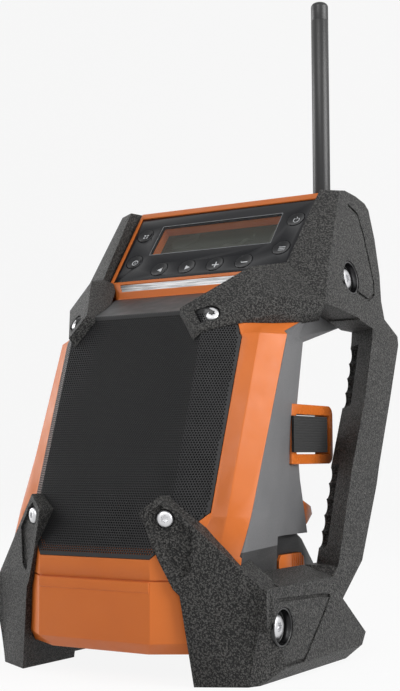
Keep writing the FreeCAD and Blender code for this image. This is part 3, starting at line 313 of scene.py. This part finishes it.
def pierced_sheet(name, from_across, to_across):
    """Hexagon cells in staggered rows. A pierced cell is a ring of faces round a hole with a wall.

    Points of cells that reach past the rim are moved onto it, so that the sheet ends in a clean line."""
    low, high = np.interp([RIM_LEVEL[0], RIM_LEVEL[-1]], LEVEL, climb)
    rows = np.arange(int((high - low) / (HOLE_PITCH * 0.866)) + 2)
    columns = np.arange(-45, 46)
    column, row = np.meshgrid(columns, rows, indexing="ij")
    across = ((column + 0.5 * (row % 2)) * HOLE_PITCH).ravel()
    along = (low + row * HOLE_PITCH * 0.866).ravel()
    wanted = (across >= from_across) & (across < to_across)
    wanted &= np.abs(across) < rim_across(along) + HOLE_PITCH * 0.5
    across, along = across[wanted], along[wanted]
    level = np.interp(along, climb, LEVEL)
    pierced = (np.abs(across) < rim_across(along) - RIM_PLAIN) & (level < PIERCED_TO)
    pierced &= level > RIM_LEVEL[0] + RIM_PLAIN
    turn = np.radians(90 + 360 / HOLE_SIDES * np.arange(HOLE_SIDES))
    reach = np.where(np.arange(HOLE_SIDES) % 2 == 0, HOLE_PITCH / math.sqrt(3), HOLE_PITCH / 2)
    outer_u = across[:, None] + reach * np.cos(turn)
    outer_v = np.clip(along[:, None] + reach * np.sin(turn), low, high)
    limit = rim_across(outer_v)
    outer = grille_point(np.clip(outer_u, -limit, limit), outer_v)
    hole_u = across[:, None] + HOLE_R * np.cos(turn)
    hole_v = along[:, None] + HOLE_R * np.sin(turn)
    hole = grille_point(hole_u, hole_v)
    step = 0.01
    rise = grille_point(across, along + step) - grille_point(across, along - step)
    side = grille_point(across + step, along) - grille_point(across - step, along)
    inwards = np.cross(rise, side)
    inwards /= np.linalg.norm(inwards, axis=1, keepdims=True)
    deep = hole + inwards[:, None, :] * SHEET_THICK
    cells = len(across)
    points = np.concatenate([outer.reshape(-1, 3), hole.reshape(-1, 3), deep.reshape(-1, 3)])
    first = np.arange(cells)[:, None] * HOLE_SIDES + np.arange(HOLE_SIDES)
    following = np.roll(first, -1, axis=1)
    shift = cells * HOLE_SIDES
    ring = np.stack([first, following, following + shift, first + shift], axis=-1)[pierced]
    wall = np.stack([first, following, following + shift, first + shift], axis=-1)[pierced] + shift
    plain = first[~pierced]
    faces = ring.reshape(-1, 4).tolist() + wall.reshape(-1, 4).tolist() + plain.tolist()
    piece = faces_mesh(name, points, faces)
    drop_loose(piece)
    return piece


def drop_loose(piece):
    """Removes points that no face uses, and faces without area."""
    cleaned = bmesh.new()
    cleaned.from_mesh(piece.data)
    bmesh.ops.dissolve_degenerate(cleaned, dist=0.000002, edges=cleaned.edges)
    loose = [point for point in cleaned.verts if not point.link_faces]
    bmesh.ops.delete(cleaned, geom=loose, context="VERTS")
    cleaned.to_mesh(piece.data)
    cleaned.free()


def cloth_sheet():
    """The cloth, stretched just behind the sheet: rows along it, each reaching from rim to rim."""
    low, high = np.interp([RIM_LEVEL[0], RIM_LEVEL[-1]], LEVEL, climb)
    along = np.linspace(low + 0.4, high - 0.4, 150)[:, None]
    across = np.linspace(-1.0, 1.0, 91) * (rim_across(along) - 0.4)
    points = grille_point(across, np.broadcast_to(along, across.shape))[:, ::-1]
    return points + np.array([0.0, CLOTH_BACK, -CLOTH_BACK * 0.3])


def surface(name, grids, wrap=False):
    """One mesh through several grids of points in millimetres; wrap closes the first direction."""
    points = []
    faces = []
    count = 0
    for grid in grids:
        rows, columns = grid.shape[:2]
        index = np.arange(rows * columns).reshape(rows, columns) + count
        if wrap:
            index = np.vstack([index, index[:1]])
        corners = [index[:-1, :-1], index[1:, :-1], index[1:, 1:], index[:-1, 1:]]
        faces.append(np.stack(corners, axis=-1).reshape(-1, 4))
        points.append(grid.reshape(-1, 3))
        count += rows * columns
    piece = faces_mesh(name, np.concatenate(points), np.concatenate(faces).tolist())
    drop_loose(piece)
    return piece


def powder_coat():
    """Powder-coated steel: low orange-peel waves and a satin skin."""
    material, tree, shader = start_material("powder-coated steel", GRILLE_BLACK, 0.36,
                                            specular_ior_level=0.3)
    place = millimetres(tree)
    relief(tree, shader, noise(tree, place, 0.5, 2.0), 0.02)
    tree.links.new(spread(tree, noise(tree, place, 12.0, 4.0), 0.3, 0.7, 0.3, 0.44),
                   shader.inputs["Roughness"])
    return material


def speaker_cloth():
    """Acoustic cloth: very dark, with a fine plain weave of crossing threads."""
    material, tree, shader = start_material("acoustic cloth", "#050505", 0.95)
    place = millimetres(tree)
    warp = add(tree, "ShaderNodeTexWave", {"Vector": place, "Scale": 0.7}, bands_direction="X")
    weft = add(tree, "ShaderNodeTexWave", {"Vector": place, "Scale": 0.7}, bands_direction="Z")
    both = add(tree, "ShaderNodeMath", {0: warp.outputs["Fac"], 1: weft.outputs["Fac"]}, operation="ADD")
    relief(tree, shader, both.outputs[0], 0.1)
    return material


POWDER_COAT = powder_coat()
GRILLE_PARTS = {"grille_wing_left": (-99.0, -45.5), "grille_front_left": (-45.5, 0.0),
                "grille_front_right": (0.0, 45.5), "grille_wing_right": (45.5, 99.0)}
for name, (start, end) in GRILLE_PARTS.items():
    sheet_part = pierced_sheet(name, start, end)
    paint(sheet_part, POWDER_COAT)
    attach(sheet_part, "radio")
    if name == "grille_front_left":
        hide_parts("speaker_grille")
cloth = surface("cloth_sheet", [cloth_sheet()])
paint(cloth, speaker_cloth())
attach(cloth, "radio")
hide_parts("grille_cloth")

# Display panel
# A glossy black fascia with a clear window over a sunken liquid crystal display, whose
# copper-orange frame forms the walls of the recess. A fine pale line is printed round it.
FASCIA_BLACK = "#15161a"
INK_GREY = "#8f9194"
PANEL_LOW = np.array([0.0, 127.2 - MIDDLE_Y, 234.7])
PANEL_HIGH = np.array([0.0, 166.3 - MIDDLE_Y, 283.5])
PANEL_UP = (PANEL_HIGH - PANEL_LOW) / np.linalg.norm(PANEL_HIGH - PANEL_LOW)
PANEL_OUT = np.array([0.0, -PANEL_UP[2], PANEL_UP[1]])
FASCIA_FACE = -0.6
WINDOW_HALF = 45.3
WINDOW_LOW = 25.0
WINDOW_HIGH = 52.3
LINE_WIDE = 0.35
INK_LIFT = 0.03


def gloss_fascia():
    """Polished acrylic in black: mirror-like, with the finest haze of wiping marks."""
    material, tree, shader = start_material("polished acrylic", FASCIA_BLACK, 0.12, specular_ior_level=0.2)
    place = millimetres(tree)
    tree.links.new(spread(tree, noise(tree, place, 14.0, 6.0), 0.3, 0.7, 0.1, 0.24),
                   shader.inputs["Roughness"])
    relief(tree, shader, noise(tree, place, 40.0, 1.0), 0.1)
    return material


def clear_window():
    """Clear acrylic, a thin pane: it lets the light straight through and keeps its reflection."""
    material = bpy.data.materials.new("clear acrylic pane")
    material.use_nodes = True
    tree = material.node_tree
    tree.nodes.clear()
    through = add(tree, "ShaderNodeBsdfTransparent", {"Color": linear("#f4f5f4")})
    gloss = add(tree, "ShaderNodeBsdfGlossy", {"Roughness": 0.06})
    facing = add(tree, "ShaderNodeLayerWeight", {"Blend": 0.5}).outputs["Facing"]
    share = spread(tree, facing, 0.3, 1.0, 0.01, 0.1)
    mix = add(tree, "ShaderNodeMixShader", {0: share, 1: through.outputs[0], 2: gloss.outputs[0]})
    add(tree, "ShaderNodeOutputMaterial", {"Surface": mix.outputs[0]})
    return material


def display_glass():
    """Liquid crystal glass: dark olive, a little uneven in tone."""
    material, tree, shader = start_material("liquid crystal glass", "#33362c", 0.25, specular_ior_level=0.2)
    place = millimetres(tree)
    tone = noise(tree, place, 26.0, 2.0)
    tree.links.new(tint(tree, tone, "#2b2e25", "#3c3f34"), shader.inputs["Base Color"])
    tree.links.new(spread(tree, tone, 0.3, 0.7, 0.2, 0.3), shader.inputs["Roughness"])
    return material


def ink(name, colour):
    """Screen-printing ink: flat, slightly worn, with a dry fine grain."""
    material, tree, shader = start_material(name, colour, 0.5)
    place = millimetres(tree)
    tree.links.new(spread(tree, noise(tree, place, 0.4, 3.0), 0.3, 0.7, 0.4, 0.6),
                   shader.inputs["Roughness"])
    return material


def seat(points, origin, up, out):
    """Points drawn with Y up and Z outwards, moved onto a face that starts at origin."""
    return points @ np.array([np.cross(up, out), up, out]) + origin


def stroke(path, width):
    """A flat band along a path of (x, y) points: each point is moved half the width to both sides."""
    path = np.array(path, dtype=float)
    run = np.gradient(path, axis=0)
    run /= np.linalg.norm(run, axis=1, keepdims=True)
    sideways = np.stack([-run[:, 1], run[:, 0]], axis=1) * np.reshape(width, (-1, 1)) / 2
    return np.stack([path - sideways, path + sideways], axis=1)


def line(start, end, width, steps=8):
    """A straight band between two points, cut into short steps."""
    share = np.linspace(0.0, 1.0, steps)[:, None]
    return stroke(np.array(start) * (1 - share) + np.array(end) * share, width)


def window_line():
    """Four bands just outside the window's edge, lying on the fascia."""
    half = WINDOW_HALF + LINE_WIDE / 2
    low = WINDOW_LOW - LINE_WIDE / 2
    high = WINDOW_HIGH + LINE_WIDE / 2
    bands = [line((-half, low), (half, low), LINE_WIDE), line((half, low), (half, high), LINE_WIDE),
             line((half, high), (-half, high), LINE_WIDE), line((-half, high), (-half, low), LINE_WIDE)]
    lifted = []
    for band in bands:
        height = np.full(band.shape[:2] + (1,), FASCIA_FACE + INK_LIFT)
        lifted.append(seat(np.concatenate([band, height], axis=-1), PANEL_LOW, PANEL_UP, PANEL_OUT))
    return lifted


GLOSS_FASCIA = gloss_fascia()
softened("display_panel", 0.25 * MM, GLOSS_FASCIA)
paint(frame["nodes"]["display_window"], clear_window())
paint(frame["nodes"]["lcd_frame"], orange_abs("moulded ABS copper", roughness=0.5))
paint(frame["nodes"]["lcd_module"], display_glass())
window_print = surface("window_line", window_line())
paint(window_print, ink("grey ink", INK_GREY))
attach(window_print, "radio")

# Keys
# Eight round keys of glossy black plastic with a dished face, each in its own hole of the
# fascia over a switch. Their pale generic marks are printed in the dish.
KEY_R = 5.9
KEY_FACE = FASCIA_FACE + 0.2
KEY_BACK = -3.4
KEY_RIM = 0.7
KEY_DISH = 1.0
KEY_BLACK = "#17181b"
MARK_PALE = "#d3d5d8"
MARK_WIDE = 0.55
KEY_PLACES = {
    "button_power": (57.0, 45.0),
    "button_menu": (54.9, 19.2),
    "button_preset": (-57.0, 45.0),
    "button_source": (-54.9, 19.2),
    "button_tune_down": (-31.5, 10.0),
    "button_tune_up": (-10.5, 10.0),
    "button_volume_up": (10.5, 10.0),
    "button_volume_down": (31.5, 10.0),
}
dish_r = KEY_R - KEY_RIM


def dish_height(radius):
    """Height of the key's face: a shallow bowl inside its rim."""
    return KEY_FACE - 0.1 - KEY_DISH * np.clip(1 - (radius / dish_r) ** 2, 0.0, None)


def turned(profile, sides):
    """Surface of revolution: each (radius, height) of the profile carried round a full turn."""
    profile = np.array(profile, dtype=float)
    turn = np.linspace(0.0, 2 * math.pi, sides, endpoint=False)[:, None]
    x = profile[:, 0] * np.cos(turn)
    y = profile[:, 0] * np.sin(turn)
    return np.stack([x, y, np.broadcast_to(profile[:, 1], x.shape)], axis=-1)


def key_cap():
    """Straight side, rounded rim, and the bowl down to its middle."""
    rim = [(KEY_R, KEY_BACK), (KEY_R, KEY_FACE - 0.3), (KEY_R - 0.1, KEY_FACE - 0.1),
           (KEY_R - 0.3, KEY_FACE), (KEY_R - 0.5, KEY_FACE), (dish_r, KEY_FACE - 0.1)]
    bowl = [(radius, dish_height(radius)) for radius in np.linspace(dish_r, 0.0, 14)[1:]]
    return turned(rim + bowl, 48)


def ring(radius, start, end, steps=28):
    """An arc-shaped band between two angles in degrees."""
    turn = np.radians(np.linspace(start, end, steps))
    return stroke(np.stack([radius * np.cos(turn), radius * np.sin(turn)], axis=1), MARK_WIDE)


KEY_MARKS = {
    "button_power": [ring(2.0, 125, 415), line((0, 0.9), (0, 2.8), MARK_WIDE)],
    "button_menu": [line((-2.2, y), (2.2, y), MARK_WIDE) for y in (-1.4, 0.0, 1.4)],
    "button_preset": [line((x - 0.6, y), (x + 0.6, y), 1.2) for x in (-1.1, 1.1) for y in (-1.1, 1.1)],
    "button_source": [ring(2.0, 0, 360), line((-0.4, 0), (0.4, 0), 0.8)],
    "button_tune_down": [line((-2.1, 0), (1.5, 0), np.linspace(0.05, 3.8, 8))],
    "button_tune_up": [line((-1.5, 0), (2.1, 0), np.linspace(3.8, 0.05, 8))],
    "button_volume_up": [line((-2.4, 0), (2.4, 0), 0.9), line((0, 0.45), (0, 2.4), 0.9),
                         line((0, -2.4), (0, -0.45), 0.9)],
    "button_volume_down": [line((-2.4, 0), (2.4, 0), 0.9)],
}


def key_plastic():
    """Glossy ABS: a clear polish with soft wiping marks."""
    material, tree, shader = start_material("polished ABS black", KEY_BLACK, 0.2, specular_ior_level=0.3)
    place = millimetres(tree)
    tree.links.new(spread(tree, noise(tree, place, 3.0, 5.0), 0.3, 0.7, 0.16, 0.28),
                   shader.inputs["Roughness"])
    return material


KEY_PLASTIC = key_plastic()
MARK_INK = ink("pale ink", MARK_PALE)
for name, (x, height) in KEY_PLACES.items():
    middle = PANEL_LOW + PANEL_UP * height + np.array([x, 0.0, 0.0])
    cap = surface(name + "_cap", [seat(key_cap(), middle, PANEL_UP, PANEL_OUT)], wrap=True)
    smooth_below(cap, 40.0)
    paint(cap, KEY_PLASTIC)
    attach(cap, name)
    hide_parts(name)
    marks = []
    for band in KEY_MARKS[name]:
        lift = dish_height(np.linalg.norm(band, axis=-1, keepdims=True)) + INK_LIFT
        marks.append(seat(np.concatenate([band, lift], axis=-1), middle, PANEL_UP, PANEL_OUT))
    mark = surface(name + "_mark", marks)
    paint(mark, MARK_INK)
    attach(mark, name)

# Light bar
# A clear moulded light guide under the display, with flutes along its length that spread
# the light of the diodes behind it. Unlit, it shows as a silvery strip of painted reflections in streaks.
LENS_LOW = np.array([0.0, 112.0 - MIDDLE_Y, 225.3])
LENS_HIGH = np.array([0.0, 122.0 - MIDDLE_Y, 232.4])
LENS_UP = (LENS_HIGH - LENS_LOW) / np.linalg.norm(LENS_HIGH - LENS_LOW)
LENS_OUT = np.array([0.0, -LENS_UP[2], LENS_UP[1]])
LENS_THICK = 3.0
LENS_HALF_LOW = 46.0
LENS_HALF_HIGH = 54.0
LENS_FROM = 0.8
LENS_TO = np.linalg.norm(LENS_HIGH - LENS_LOW) - 0.4
FLUTES = 3
FLUTE_DEEP = 0.7
LENS_SILVER = "#bfc1c4"
REFLECTION_FULL_TO = 34.0
REFLECTION_FADED_FROM = 52.0


def capped(grid):
    """The rows of a tube, closed at both ends by a last row drawn together at the row's middle."""
    ends = [np.broadcast_to(row.mean(axis=0), row.shape)[None] for row in (grid[0], grid[-1])]
    return np.concatenate([ends[0], grid, ends[1]])


def light_guide_surface():
    """A closed section of flutes over a flat back, carried across from side to side.

    Each flute is a half sine wave, and the half width grows evenly from the low to the high edge."""
    share = np.linspace(0.0, 1.0, 61)
    height = -FLUTE_DEEP * (1 - np.abs(np.sin(math.pi * FLUTES * share)))
    up = LENS_FROM + (LENS_TO - LENS_FROM) * share
    section_up = np.concatenate([[LENS_FROM], up, [LENS_TO], [LENS_FROM]])
    section_out = np.concatenate([[-LENS_THICK], height, [-LENS_THICK], [-LENS_THICK]])
    grow = (section_up - LENS_FROM) / (LENS_TO - LENS_FROM)
    half = LENS_HALF_LOW + (LENS_HALF_HIGH - LENS_HALF_LOW) * grow
    reach = np.linspace(1.0, -1.0, 40)[:, None]
    x = reach * half
    grid = np.stack([x, np.broadcast_to(section_up, x.shape), np.broadcast_to(section_out, x.shape)],
                    axis=-1)
    return capped(grid)


def light_guide():
    """Clear polycarbonate: painted reflections in silvery streaks along its length, fading to dark at its
    ends.
    """
    material, tree, shader = start_material("clear light guide, painted reflections", LENS_SILVER, 0.22, metallic=0.6)
    place = millimetres(tree)
    long = add(tree, "ShaderNodeMapping", {"Vector": place, "Scale": (0.05, 1.0, 1.0)}).outputs[0]
    streak = noise(tree, long, 1.1, 3.0)
    side = add(tree, "ShaderNodeSeparateXYZ", {"Vector": place}).outputs["X"]
    reach = add(tree, "ShaderNodeMath", {0: side}, operation="ABSOLUTE").outputs[0]
    # Painted reflection: full strength near the middle, fading to dark towards the ends.
    reflection_fade = spread(tree, reach, REFLECTION_FULL_TO, REFLECTION_FADED_FROM, 1.0, 0.15)
    streaks = spread(tree, streak, 0.35, 0.62, 0.25, 1.0)
    painted_reflection = add(tree, "ShaderNodeMath", {0: streaks, 1: reflection_fade}, operation="MULTIPLY").outputs[0]
    tree.links.new(tint(tree, painted_reflection, "#3c3d40", "#f4f4f5"), shader.inputs["Base Color"])
    return material


guide = surface("light_guide", [seat(light_guide_surface(), LENS_LOW, LENS_UP, LENS_OUT)])
smooth_below(guide, 35.0)
paint(guide, light_guide())
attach(guide, "radio")
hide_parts("light_bar_lens")

# Screws
# Button-head screws with six-lobed sockets in bright zinc plate. Four hold the tips of the
# cage's arms, and four larger ones sit in smooth black cups in the sides of the cage.
CAGE_OUT = 94.0
CAGE_TAPER = 0.132
ARM_SCREW_LOW = ((45.6, 22.4, 88.0), (0.55, -1.0, -0.03))
ARM_SCREW_HIGH = ((48.6, 66.6, 202.6), (0.494, -0.693, 0.525))
SIDE_SCREW_LOW = ((CAGE_OUT, 64.9, 29.7), (1.0, 0.0, 0.0))
SIDE_SCREW_HIGH = ((CAGE_OUT - CAGE_TAPER * 31.0, 166.0, 231.0), (1.0, 0.0, CAGE_TAPER))
ARM_SUNK = 2.6
CUP_FLOOR = 5.1
ARM_HEAD = (4.65, 2.4, 2.2)
SIDE_HEAD = (6.5, 2.6, 2.6)
SCREW_LONG = 24.0
LOBES = 6
LOBE_DEEP = 0.17
ZINC_BRIGHT = "#cfcfd1"


def screw_surface(place, out, sunk, head_r, head_high, shank_r):
    """Shank, domed head and socket as one turned profile, the socket's radius waved by its lobes."""
    socket = head_r * 0.38
    profile = np.array([
        (0.0, -SCREW_LONG, 0), (shank_r, -SCREW_LONG + 1, 0), (shank_r, 0.0, 0), (head_r, 0.0, 0),
        (head_r, head_high * 0.3, 0), (head_r * 0.97, head_high * 0.5, 0),
        (head_r * 0.86, head_high * 0.76, 0), (head_r * 0.7, head_high * 0.93, 0),
        (head_r * 0.56, head_high, 0), (socket * 1.04, head_high, 1), (socket, head_high - 0.12, 1),
        (socket * 0.95, head_high - 1.6, 1), (socket * 0.3, head_high - 1.9, 0),
        (0.0, head_high - 1.9, 0)])
    turn = np.linspace(0.0, 2 * math.pi, 72, endpoint=False)[:, None]
    radius = profile[:, 0] * (1 + LOBE_DEEP * profile[:, 2] * np.cos(LOBES * turn))
    height = np.broadcast_to(profile[:, 1], radius.shape)
    points = np.stack([radius * np.cos(turn), radius * np.sin(turn), height], axis=-1)
    out = np.array(out) / np.linalg.norm(out)
    up = np.cross(out, (0.0, 1.0, 0.0)) if abs(out[1]) < 0.5 else np.cross(out, (0.0, 0.0, 1.0))
    up /= np.linalg.norm(up)
    base = np.array(place) - np.array([0.0, MIDDLE_Y, 0.0]) - out * sunk
    return seat(points, base, up, out)


def four_screws(name, places, sunk, head):
    """The screws of one kind on both sides of the cage, as one piece."""
    grids = []
    for place, out in places:
        for side in (1.0, -1.0):
            flip = np.array([side, 1.0, 1.0])
            grids.append(screw_surface(np.array(place) * flip, np.array(out) * flip, sunk, *head))
    piece = surface(name + "_finish", grids, wrap=True)
    smooth_below(piece, 35.0)
    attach(piece, "radio")
    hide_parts(name)
    return piece


def zinc_plate():
    """Zinc-plated steel: bright, with a fine random mottling and turning marks."""
    material, tree, shader = start_material("zinc-plated steel", ZINC_BRIGHT, 0.4, metallic=1.0)
    place = millimetres(tree)
    tree.links.new(spread(tree, noise(tree, place, 1.2, 4.0), 0.3, 0.7, 0.36, 0.48),
                   shader.inputs["Roughness"])
    relief(tree, shader, noise(tree, place, 1.5, 1.0), 0.004)
    return material


def moulding(name, colour, roughness, size=0.5, depth=0.04, **sockets):
    """Moulded plastic or rubber: an even fine texture of the given size and depth."""
    material, tree, shader = start_material(name, colour, roughness, **sockets)
    place = millimetres(tree)
    grain = noise(tree, place, size, 3.0)
    relief(tree, shader, grain, depth)
    tree.links.new(spread(tree, grain, 0.3, 0.7, roughness - 0.05, roughness + 0.08),
                   shader.inputs["Roughness"])
    return material


ZINC = zinc_plate()
GLOSS_BLACK = moulding("smooth black moulding", "#101011", 0.2, size=2.0, depth=0.01)
paint(four_screws("arm_screws", (ARM_SCREW_LOW, ARM_SCREW_HIGH), ARM_SUNK, ARM_HEAD), ZINC)
paint(four_screws("side_screws", (SIDE_SCREW_LOW, SIDE_SCREW_HIGH), CUP_FLOOR, SIDE_HEAD), ZINC)
softened("screw_cups", 0.45 * MM, GLOSS_BLACK, segments=3)
for name in ("speaker_screws", "usb_socket", "antenna_pin", "port_hinge_pin"):
    paint(frame["nodes"][name], ZINC)

# Antenna
# A rod in a satin black rubber sleeve with a pressed-on cap. It folds down sideways on a
# pin between the two ears of its foot.
ANTENNA_RUBBER = moulding("satin rubber sleeve", "#1b1b1c", 0.38, size=0.7, depth=0.02)
softened("antenna_rod", 0.35 * MM, ANTENNA_RUBBER)
softened("antenna_cap", 0.35 * MM, ANTENNA_RUBBER)
softened("antenna_base", 0.3 * MM, moulding("moulded nylon black", "#1d1d1e", 0.45))

# Strap and holder
# An elastic webbing strap runs through a glossy orange loop at each side and holds a
# telephone against the back, with its foot in the trough of an orange ledge.
STRAP_LOW = 123.3
STRAP_HIGH = 145.1
STRAP_THICK = 1.7
STRAP_X = 69.4
STRAP_START = 124.6
STRAP_BACK = 171.95
STRAP_CORNER = 3.0
STRAP_RIBS = 14
RIB_DEEP = 0.22
WEBBING_BLACK = "#0d0d0e"


def strap_path():
    """Half of a U in plan: straight back, round one corner, and across to the middle."""
    turn = np.linspace(0.0, math.pi / 2, 10)
    corner = np.stack([STRAP_X - STRAP_CORNER + STRAP_CORNER * np.cos(turn),
                       STRAP_BACK - STRAP_CORNER + STRAP_CORNER * np.sin(turn)], axis=1)
    start = np.stack([np.full(20, STRAP_X),
                      np.linspace(STRAP_START, STRAP_BACK - STRAP_CORNER - 0.5, 20)], axis=1)
    across = np.stack([np.linspace(STRAP_X - STRAP_CORNER - 0.5, 0.0, 30), np.full(30, STRAP_BACK)],
                      axis=1)
    return np.concatenate([start, corner, across])


def strap_surface():
    """The ribbed section of the webbing carried round the U.

    Across its width the face rises and falls as the square root of a sine, once for each cord."""
    half = strap_path()
    path = np.concatenate([half, half[-2::-1] * np.array([-1.0, 1.0])])
    run = np.gradient(path, axis=0)
    run /= np.linalg.norm(run, axis=1, keepdims=True)
    outward = np.stack([run[:, 1], -run[:, 0]], axis=1)
    share = np.linspace(0.0, 1.0, STRAP_RIBS * 8 + 1)
    swell = STRAP_THICK / 2 - RIB_DEEP * (1 - np.sqrt(np.abs(np.sin(math.pi * STRAP_RIBS * share))))
    height = STRAP_LOW + (STRAP_HIGH - STRAP_LOW) * share
    offset = np.concatenate([swell, -swell[::-1], swell[:1]])
    level = np.concatenate([height, height[::-1], height[:1]])
    xy = path[:, None, :] + outward[:, None, :] * offset[None, :, None]
    z = np.broadcast_to(level, xy.shape[:2])
    grid = np.concatenate([xy, z[..., None]], axis=-1)[:, ::-1]
    grid = grid - np.array([0.0, MIDDLE_Y, 0.0])
    return capped(grid)


def webbing():
    """Woven polyester: fine threads across each cord, dull, with a soft sheen."""
    material, tree, shader = start_material("elastic webbing", WEBBING_BLACK, 0.85, sheen_weight=0.1)
    place = millimetres(tree)
    threads = noise(tree, place, 0.35, 2.0)
    relief(tree, shader, threads, 0.12)
    tree.links.new(tint(tree, threads, "#080808", "#19191a"), shader.inputs["Base Color"])
    return material


strap = surface("strap_webbing", [strap_surface()])
smooth_below(strap, 60.0)
paint(strap, webbing())
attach(strap, "radio")
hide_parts("holding_strap")

ORANGE_GLOSS = orange_abs("moulded ABS orange gloss", grain=0.01, roughness=0.24)
for name in ("strap_loop_left", "strap_loop_right", "device_ledge"):
    softened(name, 0.6 * MM, ORANGE_GLOSS, segments=3)

# Battery pack
# A black two-part case on two rails under the back, with a ribbed orange latch at each
# side. The cells inside carry a blue shrink wrap, and the blades are tinned brass.
BATTERY_BLACK = moulding("moulded ABS black", "#242425", 0.42, size=0.45, depth=0.05)
for name in ("battery_case_upper", "battery_case_lower"):
    softened(name, 0.7 * MM, BATTERY_BLACK)
for name in ("battery_latch_left", "battery_latch_right"):
    softened(name, 0.3 * MM, ORANGE_ABS)
paint(frame["nodes"]["battery_cells"], moulding("shrink wrap", "#3a6ea8", 0.35, size=4.0, depth=0.05))
paint(frame["nodes"]["terminal_blades"], moulding("tinned brass", "#c9b98a", 0.3, metallic=1.0))

# Sockets
# A soft rubber cover on a hinge pin closes over the sockets in the back of the housing.
softened("port_cover", 0.4 * MM, moulding("soft rubber", "#202021", 0.6, size=0.6, depth=0.06))
paint(frame["nodes"]["audio_socket"], moulding("moulded nylon", "#161617", 0.4))

# Inside
# The driver on its baffle and the boards, which show only through the grille's holes and
# when pieces are taken apart.
INNER = moulding("glass-filled nylon", "#1b1b1c", 0.55)
for name in ("speaker_baffle", "speaker_basket", "button_switches", "board_parts"):
    paint(frame["nodes"][name], INNER)
paint(frame["nodes"]["speaker_magnet"], moulding("ferrite", "#2e2e30", 0.5, size=1.0))
paint(frame["nodes"]["speaker_surround"], moulding("butyl rubber", "#151515", 0.5))
CONE_PAPER = moulding("pressed paper pulp", "#262627", 0.8, size=0.8, depth=0.1)
for name in ("speaker_cone", "speaker_dust_cap"):
    paint(frame["nodes"][name], CONE_PAPER)
BOARD = moulding("glass fibre board", "#1d5a34", 0.4, size=1.0, depth=0.02)
for name in ("control_board", "light_bar_board", "main_board"):
    paint(frame["nodes"][name], BOARD)

# Studio
# A pale floor that runs up into a backdrop, a large soft lamp from the right, weaker ones
# from the front and from the left, and the camera at the photograph's place.
CAMERA_AT = (0.4152, -0.5417 - MIDDLE_Y * MM, 0.1216)
PAPER_GLOW = 0.9
WORLD_LIGHT = 0.2
RADIO_MIDDLE = 0.18
CAMERA_PITCH = 4.99
CAMERA_TURN = 31.63
CAMERA_ROLL = 0.19
CAMERA_LENS = 65.6


def plainly_seen(tree):
    """1 for rays from the camera, also through glass or by way of a mirror, and 0 for light."""
    ray = add(tree, "ShaderNodeLightPath")
    both = add(tree, "ShaderNodeMath", {0: ray.outputs["Is Camera Ray"],
                                        1: ray.outputs["Is Transmission Ray"]}, operation="MAXIMUM")
    return add(tree, "ShaderNodeMath", {0: both.outputs[0], 1: ray.outputs["Is Glossy Ray"]},
               operation="MAXIMUM").outputs[0]


def stage_finish():
    """White studio paper. To the camera it is nearly white, and it keeps the radio's shadow."""
    material, tree, shader = start_material("studio paper", "#e9e9e9", 0.9)
    glow = add(tree, "ShaderNodeEmission", {"Color": (1.0, 1.0, 1.0, 1.0), "Strength": 1.0})
    share = spread(tree, plainly_seen(tree), 0.0, 1.0, 0.0, PAPER_GLOW)
    mix = add(tree, "ShaderNodeMixShader", {0: share, 1: shader.outputs[0], 2: glow.outputs[0]})
    tree.links.new(mix.outputs[0], tree.nodes["Material Output"].inputs["Surface"])
    return material


def floor_sheet(half, rise, bend, steps=24):
    """A flat square that turns up at its back through a quarter circle of radius bend."""
    turn = np.linspace(0.0, math.pi / 2, steps)
    depth = np.concatenate([[-half], half + bend * np.sin(turn), [half + bend]])
    height = np.concatenate([[0.0], bend - bend * np.cos(turn), [rise]])
    across = np.array([-half * 2, half * 2])
    x, y = np.meshgrid(across, depth, indexing="ij")
    z = np.broadcast_to(height, x.shape)
    return np.stack([x, y, z], axis=-1)


floor = surface("studio_floor", [floor_sheet(1600.0, 2500.0, 500.0)])
smooth_below(floor, 60.0)
paint(floor, stage_finish())


def soft_lamp(name, size, power, azimuth, height, distance):
    """A square area lamp that faces the middle of the radio; azimuth is from the front, to +X."""
    light = bpy.data.lights.new(name, "AREA")
    light.size = size
    light.energy = power
    lamp = bpy.data.objects.new(name, light)
    turn = math.radians(azimuth)
    lamp.location = (distance * math.sin(turn), -distance * math.cos(turn), height)
    tilt = math.atan2(distance, height - RADIO_MIDDLE)
    lamp.rotation_euler = (tilt, 0.0, turn)
    bpy.context.scene.collection.objects.link(lamp)
    return lamp


soft_lamp("key_lamp", 0.8, 12.5, 95.0, 0.6, 1.1)
soft_lamp("front_lamp", 0.8, 8.0, 10.0, 1.0, 1.3)
soft_lamp("left_lamp", 0.6, 6.0, -80.0, 0.5, 1.1)

world = bpy.data.worlds.new("studio")
world.use_nodes = True
bpy.context.scene.world = world
level = spread(world.node_tree, plainly_seen(world.node_tree), 0.0, 1.0, WORLD_LIGHT, 1.0)
background = world.node_tree.nodes["Background"]
background.inputs["Color"].default_value = (1.0, 1.0, 1.0, 1.0)
world.node_tree.links.new(level, background.inputs["Strength"])

bpy.context.scene.view_settings.view_transform = "Standard"
camera_data = bpy.data.cameras.new("camera")
camera_data.sensor_width = 36.0
camera_data.lens = CAMERA_LENS
camera = bpy.data.objects.new("camera", camera_data)
camera.location = CAMERA_AT
camera.rotation_euler = (math.radians(90 + CAMERA_PITCH), math.radians(CAMERA_ROLL),
                         math.radians(CAMERA_TURN))
bpy.context.scene.collection.objects.link(camera)
bpy.context.scene.camera = camera
